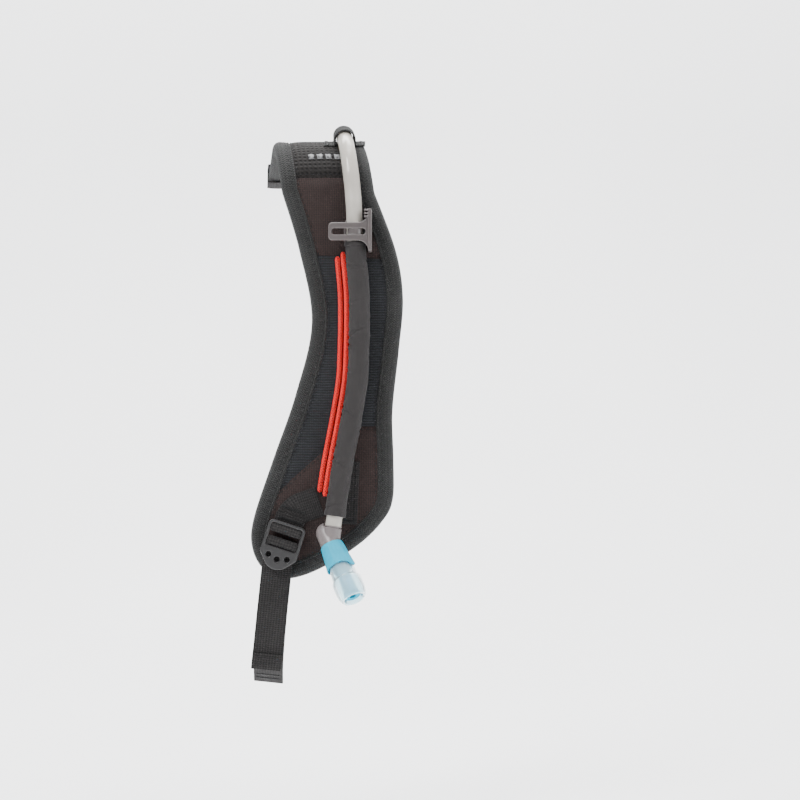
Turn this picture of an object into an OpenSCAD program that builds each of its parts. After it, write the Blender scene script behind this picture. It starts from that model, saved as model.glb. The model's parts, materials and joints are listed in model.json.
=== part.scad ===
// Shoulder strap of a hydration pack, with its drinking hose, bite valve and strap adjuster.
// Millimetres, +Z up. The origin is the middle of the seam that joins the strap to the pack.
// The strap leaves the seam forwards, bends down over the shoulder and hangs facing -Y.

/* [Strap] */
// Width of the strap over the shoulder
strap_w = 57.6; // [50:0.2:64]
// Radius of the bend over the shoulder, at the middle of the padding
crest_r = 30; // [24:1:45]
// Angle that the strap turns through over the shoulder
crest_turn = 100; // [85:1:110]
// Straight run from that bend back to the root seam
back_run = 62; // [40:1:90]
// Sideways drift of the strap for each unit that it climbs or runs back
drift = 0.13; // [0:0.01:0.2]
// Thickness of the foam core
foam_t = 5.6; // [4:0.2:9]
// Thickness of the mesh lining on the wearer's side
lining_t = 1.5; // [1:0.1:3]
// Thickness of the front panels
panel_t = 1; // [0.6:0.1:1.5]
// Width of the knitted edge binding
binding_w = 8; // [6:0.5:10]
// Thickness of the binding fabric
binding_t = 0.8; // [0.5:0.1:1.2]

/* [Hose] */
// Outside diameter of the drinking tube
tube_d = 10; // [9:0.1:11]
// Inside diameter of the drinking tube
tube_bore = 6.4; // [5:0.1:7]
// Outside diameter of the sleeve over the tube
sleeve_d = 13.4; // [12:0.1:15]
// Diameter of the round piping
piping_d = 3.3; // [2:0.1:4]
// Length of each of the first bending lengths of the hose
link_len = 27; // [24:0.5:30]
// Length of the last one, down to the hem of the sleeve
last_len = 31; // [28:0.5:36]
// Gap between neighbouring lengths, so that they can bend
link_gap = 2.1; // [2:0.1:3]

/* [Valve] */
// Angle between the hose and the barrel of the valve
elbow_angle = 40; // [30:1:90]
// Turn of the valve about the hose, from straight sideways towards the front
swivel_rest = 42; // [30:1:50]
// Outside diameter of the valve barrel
barrel_d = 12.8; // [12:0.1:14]
// Largest diameter of the soft mouthpiece
bite_d = 18.6; // [16:0.2:20]

/* [Webbing and buckle] */
// Width of the webbing
web_w = 18.8; // [18:0.1:19.2]
// Thickness of the webbing
web_t = 1.3; // [1:0.05:1.4]
// Lean of the buckle from the vertical
buckle_lean = 18; // [10:1:24]
// Lean of the webbing that hangs below it
tail_lean = 6; // [3:1:10]

/* [Hidden] */
$fn = 48;

// Depths are counted forwards from the middle of the padding
foam_front = foam_t / 2;
panel_front = foam_front + panel_t;
binding_front = panel_front + binding_t;
lining_back = -foam_front - lining_t;
binding_back = lining_back - binding_t;
strip_front = panel_front + 1.4;
tube_r = tube_d / 2;
sleeve_r = sleeve_d / 2;
piping_r = piping_d / 2;
hose_depth = 13.4;
crest_tube_depth = panel_front + tube_r + 0.5;

// Where the straight front of the strap meets the bend over the shoulder
crest_len = crest_r * crest_turn * PI / 180;
strap_end = crest_len + back_run;
root_y = crest_r * (1 - cos(crest_turn)) + back_run * sin(crest_turn);
root_z = crest_r * sin(crest_turn) + back_run * cos(crest_turn);
front_origin = [drift * (root_y + root_z), -root_y, -root_z];

// Colours
knit = [0.20, 0.21, 0.21];
brown = [0.24, 0.21, 0.20];
ribbed = [0.16, 0.17, 0.18];
mesh_black = [0.17, 0.17, 0.17];
web_black = [0.23, 0.21, 0.21];
red = [0.90, 0.16, 0.12];
clear_grey = [0.78, 0.77, 0.75, 0.8];
sleeve_grey = [0.29, 0.29, 0.29];
clip_grey = [0.43, 0.40, 0.40];
elbow_grey = [0.59, 0.56, 0.56];
cyan = [0.24, 0.78, 0.90];
silicone = [0.90, 0.93, 0.95, 0.7];
metal = [0.70, 0.70, 0.72];

// ---- Curves ----

// One point of a smooth curve through b and c, with a and d as its outer neighbours
function smooth(a, b, c, d, t) =
  0.5 * ((2 * b) + (c - a) * t + (2 * a - 5 * b + 4 * c - d) * t * t + (3 * b - a - 3 * c + d) * t * t * t);

// The whole curve through a list of points, with n steps between each pair
function curve(p, n) = [
  for (i = [0:len(p) - 2])
    for (j = [0:n - 1 + (i == len(p) - 2 ? 1 : 0)])
      smooth(p[max(i - 1, 0)], p[i], p[i + 1], p[min(i + 2, len(p) - 1)], j / n)
];

function unit(v) = v / norm(v);
function left_of(v) = [-v[1], v[0]];
function last(list) = list[len(list) - 1];

// Direction of a polyline at its point i
function along_path(p, i) = unit(p[min(i + 1, len(p) - 1)] - p[max(i - 1, 0)]);

// A polyline moved sideways by d, to its left
function beside(p, d) = [for (i = [0:len(p) - 1]) p[i] + d * left_of(along_path(p, i))];

// A band of thickness t along a polyline
function band(p, t) = concat(beside(p, t / 2), [for (i = [len(p) - 1:-1:0]) beside(p, -t / 2)[i]]);

// Points of an arc about c, radius r, from angle a0 to a1
function arc(c, r, a0, a1, n = 10) = [
  for (i = [0:n]) let (a = a0 + (a1 - a0) * i / n) c + r * [cos(a), sin(a)]
];

// ---- Outline of the strap's front, [x, z] from the start of the bend, down the inner side and back up ----
edge_points = [
  [-strap_w / 2, 0], [-17.9, -36.6], [-10.2, -81], [-20.3, -126], [-34, -165.5], [-46.4, -203],
  [-47.2, -221], [-40, -234.5], [-26, -240.3], [-6.7, -235], [18.1, -220], [33.6, -205],
  [40.4, -191], [40.8, -165], [40.2, -136], [44.3, -97], [46.7, -66], [42.3, -36.6], [strap_w / 2, 0]
];
edge = curve(edge_points, 5);

// The outline drawn in by d, with its top end left level
function inset(d) = [
  for (i = [0:len(edge) - 1])
    i == 0 ? edge[0] + [d, 0]
    : i == len(edge) - 1 ? edge[i] - [d, 0]
    : edge[i] + d * left_of(along_path(edge, i))
];

// ---- Places ----

// Point on the strap's side view, at s along it and n in front of its middle, as [y, z]
function strap_point(s, n) =
  let (
    turn = min(max(s, 0) / crest_r * 180 / PI, crest_turn),
    rest = s > crest_len ? s - crest_len : min(s, 0)
  )
  [
    crest_r - (crest_r + n) * cos(turn) + rest * sin(turn),
    (crest_r + n) * sin(turn) + rest * cos(turn)
  ];

module front() { translate(front_origin) children(); }

// The drift of the strap over the shoulder
module drifted() {
  front() multmatrix([[1, -drift, -drift, 0], [0, 1, 0, 0], [0, 0, 1, 0], [0, 0, 0, 1]]) children();
}

// Bends a flat shape's z into depth, so that [x, z] outlines stand upright and face forwards
module upright(n0, n1) { translate([0, -n0, 0]) rotate([90, 0, 0]) linear_extrude(n1 - n0) children(); }

// A flat layer of the strap's front, drawn in by d, between two depths
module front_layer(d, n0, n1) { front() upright(n0, n1) polygon(inset(d)); }

// A layer over the shoulder between two depths, from x0 to x1 and from s0 to s1
module crest_layer(x0, x1, n0, n1, s0, s1) {
  steps = max(2, ceil((s1 - s0) / 3));
  stations = [for (i = [0:steps]) s0 + (s1 - s0) * i / steps];
  outline = concat(
    [for (s = stations) strap_point(s, n0)],
    [for (i = [steps:-1:0]) strap_point(stations[i], n1)]
  );
  translate([x0, 0, 0]) rotate([90, 0, 90]) linear_extrude(x1 - x0) polygon(outline);
}

// Seams across the front panels, [x, z]
upper_seam_s = 8;
middle_seam = [[-70, -36.8], [70, -43]];
lower_seam = [[-70, -221.8], [13.8, -145.7], [70, -144.8]];

// The part of the front between two seams
module between_seams(above, below) {
  low = below == undef ? [[-70, -260], [70, -260]] : below;
  high = above == undef ? [[-70, 0.5], [70, 0.5]] : above;
  front() upright(-20, 20) polygon(concat(low, [for (i = [len(high) - 1:-1:0]) high[i]]));
}

// ---- Strap ----

module strap_foam() {
  w = strap_w / 2 - 1.2;
  color("dimgray") difference() {
    union() {
      front_layer(1.2, -foam_front, foam_front);
      drifted() crest_layer(-w, w, -foam_front + 0.1, foam_front - 0.1, -0.2, strap_end - 1);
    }
    for (k = magnet_links) dock_magnet_at(k, 2.2, 5.2);
  }
}

module back_lining() {
  w = strap_w / 2 - binding_t;
  color(mesh_black) {
    front_layer(binding_t, lining_back, -foam_front);
    drifted() crest_layer(-w, w, lining_back, -foam_front, -0.2, strap_end - 1);
  }
}

module top_mesh_panel() {
  w = strap_w / 2 - binding_t;
  color(mesh_black) drifted() crest_layer(-w, w, foam_front, panel_front, upper_seam_s + 0.2, strap_end - 1);
}

module upper_panel() {
  w = strap_w / 2 - binding_t;
  color(brown) {
    intersection() {
      front_layer(binding_t, foam_front, panel_front);
      between_seams(undef, middle_seam);
    }
    drifted() crest_layer(-w, w, foam_front, panel_front, -0.2, upper_seam_s);
  }
}

module middle_panel() {
  color(ribbed) intersection() {
    front_layer(binding_t, foam_front, panel_front);
    between_seams([for (p = middle_seam) p - [0, 0.2]], lower_seam);
  }
}

module lower_panel() {
  color(brown) intersection() {
    front_layer(binding_t, foam_front, panel_front);
    between_seams([for (p = lower_seam) p - [0, 0.2]], undef);
  }
}

// A folded tape that closes the edges of the strap's layers
module edge_binding() {
  w = strap_w / 2;
  color(knit) {
    difference() {
      front_layer(0, binding_back, binding_front);
      front_layer(binding_t, lining_back, panel_front);
      front_layer(binding_w, binding_back - 1, binding_front + 1);
    }
    drifted() difference() {
      crest_layer(-w, w, binding_back, binding_front, -0.2, strap_end - 1);
      crest_layer(-w + binding_t, w - binding_t, lining_back - 0.1, panel_front + 0.1, -1, strap_end);
      crest_layer(-w + binding_w, w - binding_w, binding_back - 1, binding_front + 1, -1, strap_end);
    }
  }
}

// A narrow bead inside the binding, on the front only
module inner_bead() {
  near = binding_w + 0.3;
  far = near + 1.8;
  w = strap_w / 2;
  color(knit) {
    difference() {
      front_layer(near, panel_front, binding_front - 0.1);
      front_layer(far, panel_front - 1, binding_front + 1);
    }
    drifted() for (side = [-1, 1])
      crest_layer(
        side < 0 ? -w + near : w - far, side < 0 ? -w + far : w - near,
        panel_front + 0.1, binding_front - 0.1, -0.2, strap_end - 1
      );
  }
}

module reflective_bars() {
  bar_s = 19;
  color("silver") drifted() for (i = [0:3])
    crest_layer(-9 + i * 5.4, -5.4 + i * 5.4, panel_front + 0.08, panel_front + 0.38, bar_s, bar_s + 3.6);
}

// The load strip sewn under the hose
module center_webbing() {
  strip = [[10.4, -167], [8.8, -206]];
  color(web_black) front() upright(panel_front, strip_front) polygon(band(strip, web_w));
}

// ---- Hose: six lengths that bend one after another ----
first_knee = [17.2, -hose_depth, -36];
// Lean of each length from the vertical, to the wearer's left
lean = [5.5, 0, -2, -9.5, -11, -8.5];
// Lean of each length towards the front
pitch = [0, 0, 0, 0, 2.5, 5];
magnet_links = [2, 4];

function link_length(k) = k < 5 ? link_len : last_len;
function link_dir(k) = [sin(lean[k]) * cos(pitch[k]), -sin(pitch[k]), -cos(lean[k]) * cos(pitch[k])];
function knee(k) = k == 0 ? first_knee : knee(k - 1) + link_length(k - 1) * link_dir(k - 1);

// Places its children at the top of length k, which runs down its own -Z
module on_link(k) { front() translate(knee(k)) rotate([-pitch[k], -lean[k], 0]) children(); }

// A round bar along length k; the last one ends a given distance above the hem
module link_bar(k, r, above_hem = 0) {
  bottom = k == 5 ? above_hem : link_gap / 2;
  translate([0, 0, -link_length(k) + bottom]) cylinder(r = r, h = link_length(k) - link_gap / 2 - bottom);
}

module tube_link(k) {
  color(clear_grey) on_link(k) difference() {
    link_bar(k, tube_r, -tube_end);
    translate([0, 0, -60]) cylinder(d = tube_bore, h = 80);
  }
}

module sleeve_link(k) {
  color(sleeve_grey) on_link(k) difference() {
    link_bar(k, sleeve_r);
    translate([0, 0, -60]) cylinder(r = tube_r + 0.15, h = 80);
    if (len([for (m = magnet_links) if (m == k) m]) > 0) sleeve_magnet_disc(k);
  }
}

// Elastic cuff that holds the top of the sleeve on the tube
module sleeve_cuff() {
  color(sleeve_grey) front() translate([17.05, -hose_depth, -34.7]) difference() {
    cylinder(r = sleeve_r, h = 2.5);
    translate([0, 0, -1]) cylinder(r = tube_r + 0.1, h = 5);
  }
}

// The piping lies along the sleeve's inner side, a little behind its middle
piping_turn = 15;
module piping_link(k) {
  out = sleeve_r + piping_r + 0.02;
  color(red) on_link(k)
    translate([-out * cos(piping_turn), out * sin(piping_turn), 0]) link_bar(k, piping_r, 11.6);
}

module sleeve_magnet_disc(k) {
  translate([0, sleeve_r - 0.9, -link_length(k) / 2]) rotate([-90, 0, 0]) cylinder(d = 8, h = 1.1);
}

module sleeve_magnet(k) { color(metal) on_link(k) sleeve_magnet_disc(k); }

// Magnets under the front panel that pull the hose back to its place
module dock_magnet_at(k, depth, r) {
  middle = knee(k) + link_length(k) / 2 * link_dir(k);
  front() translate([middle[0], -foam_front, middle[2]]) rotate([-90, 0, 0])
    translate([0, 0, -0.01]) cylinder(r = r, h = depth);
}

module dock_magnets() {
  color(metal) for (k = magnet_links) translate([0, 0.1, 0]) dock_magnet_at(k, 2, 5);
}

// Red piping on the strap, side by side with the docked hose
module dock_piping() {
  side_step = 11.7;
  route = [
    for (k = [0:5]) [knee(k)[0], knee(k)[2]],
    [knee(5)[0], knee(5)[2]] + 17 * unit([link_dir(5)[0], link_dir(5)[2]])
  ];
  beside_hose = curve(beside(route, -side_step), 4);
  from_top = [for (p = beside_hose) if (p[1] < -40) p];
  color(red) front() rod([for (p = from_top) [p[0], -panel_front - piping_r - 0.05, p[1]]], piping_r, 12);
}

// Points of the rings round a 3-D route, one ring of radius r for each point
function rings(p, r, sides) = [
  for (i = [0:len(p) - 1])
    let (
      d = unit(p[min(i + 1, len(p) - 1)] - p[max(i - 1, 0)]),
      side = unit(cross(d, [1, 0, 0])),
      up = cross(side, d)
    )
    for (j = [0:sides - 1]) p[i] + r * (cos(j * 360 / sides) * side + sin(j * 360 / sides) * up)
];

// Faces between neighbouring rings of one wall; the first point of the wall is number k
function wall(count, sides, k, inward) = [
  for (i = [0:count - 2]) for (j = [0:sides - 1])
    let (a = k + i * sides + j, b = k + i * sides + (j + 1) % sides)
    inward ? [a, b, b + sides, a + sides] : [b, a, a + sides, b + sides]
];

// A round rod along a 3-D route, with flat ends
module rod(p, r, sides) {
  n = len(p);
  ends = [[for (j = [0:sides - 1]) j], [for (j = [sides - 1:-1:0]) (n - 1) * sides + j]];
  polyhedron(rings(p, r, sides), concat(wall(n, sides, 0, false), ends), convexity = 4);
}

// A round pipe along a 3-D route, open at both ends
module pipe(p, r, bore, sides) {
  n = len(p);
  k = n * sides;
  first = [for (j = [0:sides - 1]) let (b = (j + 1) % sides) [j, b, k + b, k + j]];
  far = (n - 1) * sides;
  final = [for (j = [0:sides - 1]) let (b = (j + 1) % sides) [far + b, far + j, k + far + j, k + far + b]];
  polyhedron(
    concat(rings(p, r, sides), rings(p, bore, sides)),
    concat(wall(n, sides, 0, false), wall(n, sides, k, true), first, final), convexity = 6
  );
}

// ---- Tube over the shoulder ----
tube_x = 15.6;
// Depth of its middle at distance s over the shoulder: it rises over the sewn cover at the root
function tube_depth(s) = crest_tube_depth + 2.2 * min(max((s - 80) / 20, 0), 1);
tube_route = [
  for (p = [[17.1, -34.9, hose_depth], [16.9, -24, hose_depth], [16.4, -11, 11.8]]) [p[0], -p[2], p[1]],
  for (i = [0:16])
    let (s = i * (strap_end + 2) / 16, q = strap_point(s, tube_depth(s)))
    [tube_x - drift * (q[0] + q[1]), q[0], q[1]]
];
tube_smooth = curve(tube_route, 2);

module shoulder_tube() { color(clear_grey) front() pipe(tube_smooth, tube_r, tube_bore / 2, 16); }

plug_dir = unit(last(tube_smooth) - tube_smooth[len(tube_smooth) - 2]);

// Places its children at the end of the tube, with +Z running out of it
module on_plug() {
  front() translate(last(tube_smooth))
    rotate([0, acos(plug_dir[2]), atan2(plug_dir[1], plug_dir[0])]) children();
}

// Plug that joins the tube to the reservoir's hose
module quick_plug() {
  color(clip_grey) on_plug() difference() {
    union() {
      translate([0, 0, 0.1]) cylinder(r = 6.2, h = 5);
      translate([0, 0, 5]) cylinder(r = 4.4, h = 20);
      translate([0, 0, -12]) cylinder(r = tube_bore / 2 - 0.12, h = 13);
    }
    translate([0, 0, -13]) cylinder(r = 2, h = 40);
    translate([0, 0, 7.5]) collar_groove(4.4, 3.2, 1.8);
    translate([0, 0, 19]) collar_groove(4.4, 3.2, 1.8);
  }
}

module collar_groove(r, floor_r, w) {
  difference() {
    cylinder(r = r + 1, h = w);
    translate([0, 0, -0.1]) cylinder(r = floor_r, h = w + 0.2);
  }
}

module quick_plug_orings() {
  color("black") on_plug() for (z = [8.4, 19.9])
    translate([0, 0, z]) rotate_extrude() translate([3.78, 0]) circle(r = 0.56);
}

// Elastic loop that keeps the tube on the strap
module tube_keeper() {
  s = 34;
  q = strap_point(s, 0);
  turn = s / crest_r * 180 / PI;
  x = tube_x - drift * (strap_point(s, crest_tube_depth)[0] + strap_point(s, crest_tube_depth)[1]);
  foot = tube_r + 8;
  color(knit) front() translate([x, q[0], q[1]]) rotate([-turn, 0, 0]) translate([0, 0, -4.5])
    linear_extrude(9) {
      difference() {
        translate([0, -crest_tube_depth]) circle(r = tube_r + 2.2);
        translate([0, -crest_tube_depth]) circle(r = tube_r + 1.1);
        translate([-20, -binding_front - 0.2]) square([40, 20]);
      }
      for (side = [-1, 1]) translate([side * (foot + tube_r) / 2 - (foot - tube_r) / 2, -binding_front - 1.4])
        square([foot - tube_r, 1.2]);
    }
}

// ---- Root ----
module root_cover() {
  w = strap_w / 2 + 0.9;
  color(web_black) drifted() difference() {
    crest_layer(-w, w, binding_back - 0.9, binding_front + 0.9, strap_end - 16, strap_end);
    crest_layer(-w + 0.9, w - 0.9, binding_back, binding_front, strap_end - 17, strap_end - 0.9);
  }
}

module root_bartacks() {
  color("black") drifted() for (x = [-20, 0, 20])
    crest_layer(x - 5, x + 5, binding_front + 0.9, binding_front + 1.5, strap_end - 9, strap_end - 6.5);
}

// ---- Tube clip ----
clip_z = [-31.6, -20.6];
clip_x = [0.9, 27.4];
clip_front = hose_depth + tube_r + 0.35;
clip_wall = 2.2;

// Front view of the arm: a rounded loop with a window, flared where it meets the upright plate
module clip_arm_outline() {
  mid = (clip_z[0] + clip_z[1]) / 2;
  difference() {
    union() {
      hull() for (z = [clip_z[0] + 2.5, clip_z[1] - 2.5]) {
        translate([clip_x[0] + 2.5, z]) circle(r = 2.5);
        translate([clip_x[1] - 1, z - 2.5]) square([0.8, 5]);
      }
      polygon(concat(
        [[clip_x[1] - 0.2, mid]],
        arc([clip_x[1] - 8.6, clip_z[1] + 6.5], 6.5, -90, 0),
        [[clip_x[1] - 0.2, clip_z[1] + 7]]
      ));
      polygon(concat(
        [[clip_x[1] - 0.2, mid], [clip_x[1] - 0.2, clip_z[0] - 7]],
        arc([clip_x[1] - 8.6, clip_z[0] - 6.5], 6.5, 0, 90)
      ));
    }
    hull() for (x = [clip_x[0] + 3.6, clip_x[1] - 5.6]) translate([x, mid]) circle(r = 1.9);
  }
}

module tube_clip() {
  base = binding_front + 0.1;
  color(clip_grey) front() {
    difference() {
      union() {
        // arm in front of the tube
        upright(clip_front, clip_front + clip_wall) clip_arm_outline();
        // hooked tip of the arm
        translate([clip_x[0], -clip_front - 0.1, clip_z[0] + 2.5]) cube([clip_wall, 5, 6]);
        // upright plate beside the tube
        translate([clip_x[1] - clip_wall, -clip_front - clip_wall - 1.2, -37.8])
          cube([clip_wall, clip_front + clip_wall + 1.2 - base, 25.4]);
        // foot behind the tube
        translate([10.9, -base - 2.2, -31.8]) cube([15.6, 2.2, 13.8]);
        // half-round seat for the tube, on a short post
        translate([16.9, -hose_depth, -31.6]) cylinder(r = tube_r + 2, h = 11);
        translate([13.4, -hose_depth + tube_r + 1, -31.6]) cube([7, 2, 11]);
        // thumb ridges at the top of the plate
        for (i = [0:2]) translate([clip_x[1] - 4.6, -clip_front - clip_wall - 1.2, -13.6 - i * 2])
          cube([3, 12, 1.1]);
      }
      translate([16.9, -hose_depth, -45]) cylinder(r = tube_r + 0.4, h = 40);
      translate([6, -clip_front - 0.02, -33]) cube([19.2, clip_front - hose_depth + 1.5, 13.6]);
      // channel in the foot for the loop that holds the clip
      translate([12, -base - 1.3, -40]) cube([9.2, 2, 30]);
    }
  }
}

// Webbing loop that ties the clip's foot to the strap
module clip_loop() {
  color(web_black) front() translate([12.2, -panel_front - 1.2, -41]) cube([8.8, 1.2, 30]);
}

// ---- Buckle and webbing ----
rim_mid = [-24.0, -205.4];
buckle_down = [-sin(buckle_lean), -cos(buckle_lean)];
bar_depth = 11;
bar_r = 1.3;
bar_a = 4.6;
bar_b = 12.8;
loop_r = bar_r + 0.08 + web_t / 2;

// Places its children at distance t down the buckle, with its own -Z down the buckle
module on_buckle(t) {
  p = rim_mid + t * buckle_down;
  front() translate([p[0], -bar_depth, p[1]]) rotate([0, buckle_lean, 0]) children();
}

// A webbing profile [t, depth] about a bar, made as wide as the webbing
module profile(p) {
  translate([-web_w / 2, 0, 0]) rotate([0, 90, 0]) linear_extrude(web_w)
    polygon([for (q = band(p, web_t)) [q[0], -q[1]]]);
}

// Webbing sewn to the strap, bent sideways to the buckle and looped round its first bar
module anchor_webbing() {
  low = panel_front + web_t / 2 - bar_depth + 0.02;
  high = low + web_t + 0.12;
  side = left_of(buckle_down);
  end = rim_mid - 1.6 * buckle_down;
  bend_r = 13;
  centre = end + bend_r * side;
  sweep = 53;
  a0 = atan2(-side[1], -side[0]);
  turn_arc = arc(centre, bend_r, a0 - sweep, a0);
  away = left_of(unit(turn_arc[0] - centre));
  color(web_black) {
    front() upright(panel_front + 0.02, panel_front + 0.02 + web_t)
      polygon(band(concat([turn_arc[0] - 11 * away], turn_arc, [end + 0.3 * buckle_down]), web_w));
    on_buckle(bar_a) profile(concat(
      [[-6.4, low], [-1.5, low], [1.2, low + 1.3], [loop_r, -2.4]],
      arc([0, 0], loop_r, 0, 220, 14),
      [[-1.0, -2.5], [-0.95, -3.4], [-1.7, -4.5], [-3, high + 0.1], [-4.6, high], [-8.5, high]]
    ));
  }
}

module anchor_bartack() {
  color("black") on_buckle(-1.6) translate([-8, 4.0 - 0.6, 0.2]) cube([16, 0.6, 1.6]);
}

// Ladder-lock buckle: a frame with two bars and a lift tab
module ladder_buckle() {
  rail = 2;
  half = web_w / 2 + 0.35 + rail;
  long = 16;
  thick = 3.2;
  tab_end = 29.6;
  color([0.24, 0.23, 0.23]) on_buckle(0) {
    difference() {
      // outer frame and tab
      upright(-thick / 2, thick / 2) hull() {
        for (x = [-half + 3, half - 3]) translate([x, -3]) circle(r = 3);
        for (x = [-half + 2, half - 2]) translate([x, -20]) circle(r = 2);
        translate([0, -tab_end + 9]) circle(r = 9);
      }
      // room for the webbing
      translate([-half + rail, -5, -long]) cube([2 * (half - rail), 10, long - 1.7]);
      // hollow behind the tab
      translate([-half + rail, 0.3, -long - 8]) cube([2 * (half - rail), 5, 9]);
      // grip holes in the tab
      for (x = [-6, 0, 6])
        translate([x, 5, -21.4 - (x == 0 ? 1.6 : 0)]) rotate([90, 0, 0]) cylinder(r = 1.8, h = 10);
    }
    for (t = [bar_a, bar_b])
      translate([-half + 0.5, 0, -t]) rotate([0, 90, 0]) cylinder(r = bar_r, h = 2 * half - 1);
  }
}

// One length of webbing: the load leg behind, over the second bar, and the free tail in front
module adjuster_webbing() {
  load = 5.7 - bar_depth;
  tail = load + web_t + 0.2;
  color(web_black) {
    on_buckle(bar_b) profile(concat(
      [[6.2, load], [1.5, load], [-1.2, load + 1.3], [-loop_r, -1.8]],
      arc([0, 0], loop_r, 180, 0, 12),
      [[loop_r + 0.05, -1.6], [3.2, tail + 0.1], [4.6, tail], [6.2, tail]]
    ));
    for (leg = [[tail, tail_len], [load, load_len]])
      front() upright(bar_depth + leg[0] - web_t / 2, bar_depth + leg[0] + web_t / 2)
        polygon(band(tail_path(leg[1]), web_w));
    load_curve(load);
  }
}

tail_len = 66;
load_len = 24;
tail_start = rim_mid + (bar_b + 6) * buckle_down;
bend_angle = buckle_lean - tail_lean;
tail_down = [-sin(tail_lean), -cos(tail_lean)];

// Path of the hanging webbing: in line with the buckle, eased round to its own lean, then straight
function tail_path(length) =
  let (
    r = 30,
    side = left_of(buckle_down),
    centre = tail_start + r * side,
    a0 = atan2(-side[1], -side[0]),
    bend = arc(centre, r, a0, a0 + bend_angle, 4)
  )
  concat(bend, [last(bend) + length * tail_down]);

// The load leg curves back under the arm to the pack
load_back_r = 55;
load_back_turn = 60;
module on_load_end(load) {
  p = last(tail_path(load_len));
  front() translate([p[0], -bar_depth - load, p[1]]) rotate([0, tail_lean, 0]) children();
}
function load_arc() = [
  for (i = [0:12]) let (a = load_back_turn * i / 12) [load_back_r * sin(a), -load_back_r * (1 - cos(a))]
];
module load_curve(load) {
  end = last(load_arc());
  on_load_end(load) profile(concat(
    [[-0.3, 0]], load_arc(), [end + 18 * [cos(load_back_turn), -sin(load_back_turn)]]
  ));
}

module load_end_bartack() {
  end = last(load_arc());
  color("black") on_load_end(5.7 - bar_depth)
    translate([0, -end[1], -end[0]]) rotate([load_back_turn, 0, 0])
      for (z = [-6, -12]) translate([-8, -web_t / 2 - 0.5, z]) cube([16, 0.5, 1.6]);
}

// The folded and stitched end of the tail
module tail_hem() {
  load = 5.7 - bar_depth;
  tail = load + web_t + 0.2;
  p = last(tail_path(tail_len));
  color(web_black) front() translate([p[0], -bar_depth - tail, p[1]]) rotate([0, tail_lean, 0])
    translate([-web_w / 2, -web_t * 1.5, 0]) cube([web_w, web_t, 9]);
}

// ---- Valve ----
tube_end = 6;
elbow_at = 16.6;

// Along the hose, from the hem of the sleeve down
module on_hem() { on_link(5) translate([0, 0, -last_len]) children(); }

// Along the barrel of the valve, from the crossing of its two axes, mouth down
module on_barrel() {
  on_hem() translate([0, 0, -elbow_at]) rotate([0, 0, -swivel_rest]) rotate([0, -elbow_angle, 0]) children();
}

// Barbed insert that the elbow turns on
module valve_barb() {
  color(elbow_grey) on_hem() difference() {
    union() {
      translate([0, 0, -tube_end - 0.4]) cylinder(r = tube_bore / 2 - 0.02, h = 14);
      translate([0, 0, -tube_end - 0.8]) cylinder(r = 5.2, h = 0.75);
      translate([0, 0, -tube_end - 4.2]) cylinder(r = 3.6, h = 3.6);
    }
    translate([0, 0, -tube_end - 5]) cylinder(r = 2, h = 20);
    translate([0, 0, -tube_end - 3.2]) collar_groove(3.6, 2.9, 1.3);
  }
}

module barb_oring() {
  color("black") on_hem() translate([0, 0, -tube_end - 2.55])
    rotate_extrude() translate([3.35, 0]) circle(r = 0.3);
}

barrel_r = barrel_d / 2;
module valve_elbow() {
  color(elbow_grey) difference() {
    union() {
      on_hem() translate([0, 0, -elbow_at]) cylinder(r = 5.5, h = elbow_at - tube_end - 1.1);
      on_barrel() {
        translate([0, 0, -7.6]) cylinder(r = barrel_r, h = 15);
        translate([0, 0, 7.4]) intersection() {
          sphere(r = barrel_r);
          translate([0, 0, 10]) cube(20, center = true);
        }
      }
    }
    on_hem() translate([0, 0, -tube_end - 4.4]) cylinder(r = 3.68, h = 4);
    // room for the end of the tube beside the domed end
    on_hem() translate([0, 0, -tube_end - 1.1]) cylinder(r = 5.75, h = 16);
    on_hem() translate([0, 0, -elbow_at]) cylinder(r = 2.2, h = 10);
    on_barrel() translate([0, 0, -9]) cylinder(r = 4.6, h = 15);
  }
}

// The hollow stem turns in the barrel and carries the mouthpiece
module valve_stem() {
  color(cyan) on_barrel() difference() {
    union() {
      translate([0, 0, -38.2]) cylinder(r = 3.6, h = 42.2);
      translate([0, 0, -12]) cylinder(r = 4.52, h = 16);
      translate([0, 0, -12]) cylinder(r = 6.2, h = 3.4);
      // rounded head inside the tip of the mouthpiece
      translate([0, 0, -38.9]) cylinder(r1 = 4.9, r2 = 5.2, h = 3.2);
    }
    translate([0, 0, -40]) cylinder(r = 2.1, h = 38);
    rotate([0, elbow_angle, 0]) cylinder(r = 1.8, h = 12);
    for (z = [1.8, -6]) translate([0, 0, z]) collar_groove(4.52, 3.7, 1.4);
  }
}

module barrel_orings() {
  color("black") on_barrel() for (z = [2.5, -5.3])
    translate([0, 0, z]) rotate_extrude() translate([4.15, 0]) circle(r = 0.38);
}

// Flared collar that the user turns to open and close the valve
module twist_collar() {
  color(cyan) on_barrel() rotate([0, 0, 180]) rotate_extrude()
    polygon([
      [6.48, -2.2], [7.1, -2.2], [7.5, -8], [8.9, -18], [7.9, -18],
      [7.0, -13], [6.3, -12.1], [6.3, -8.5], [6.48, -8.5]
    ]);
}

// Soft mouthpiece, open at the tip
module mouthpiece() {
  r = bite_d / 2;
  color(silicone) on_barrel() rotate_extrude() polygon(concat(
    [[3.7, -12.6], [6.2, -12.6], [7.1, -17.5]],
    curve([[7.5, -20], [8.1, -26.2], [9.1, -27.6], [r, -33.5], [8.6, -38.6], [7.6, -40.6], [6.5, -41]], 4),
    [[5.8, -40.6], [5.7, -34], [5.6, -30], [5.2, -24], [3.7, -21]]
  ));
}

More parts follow.
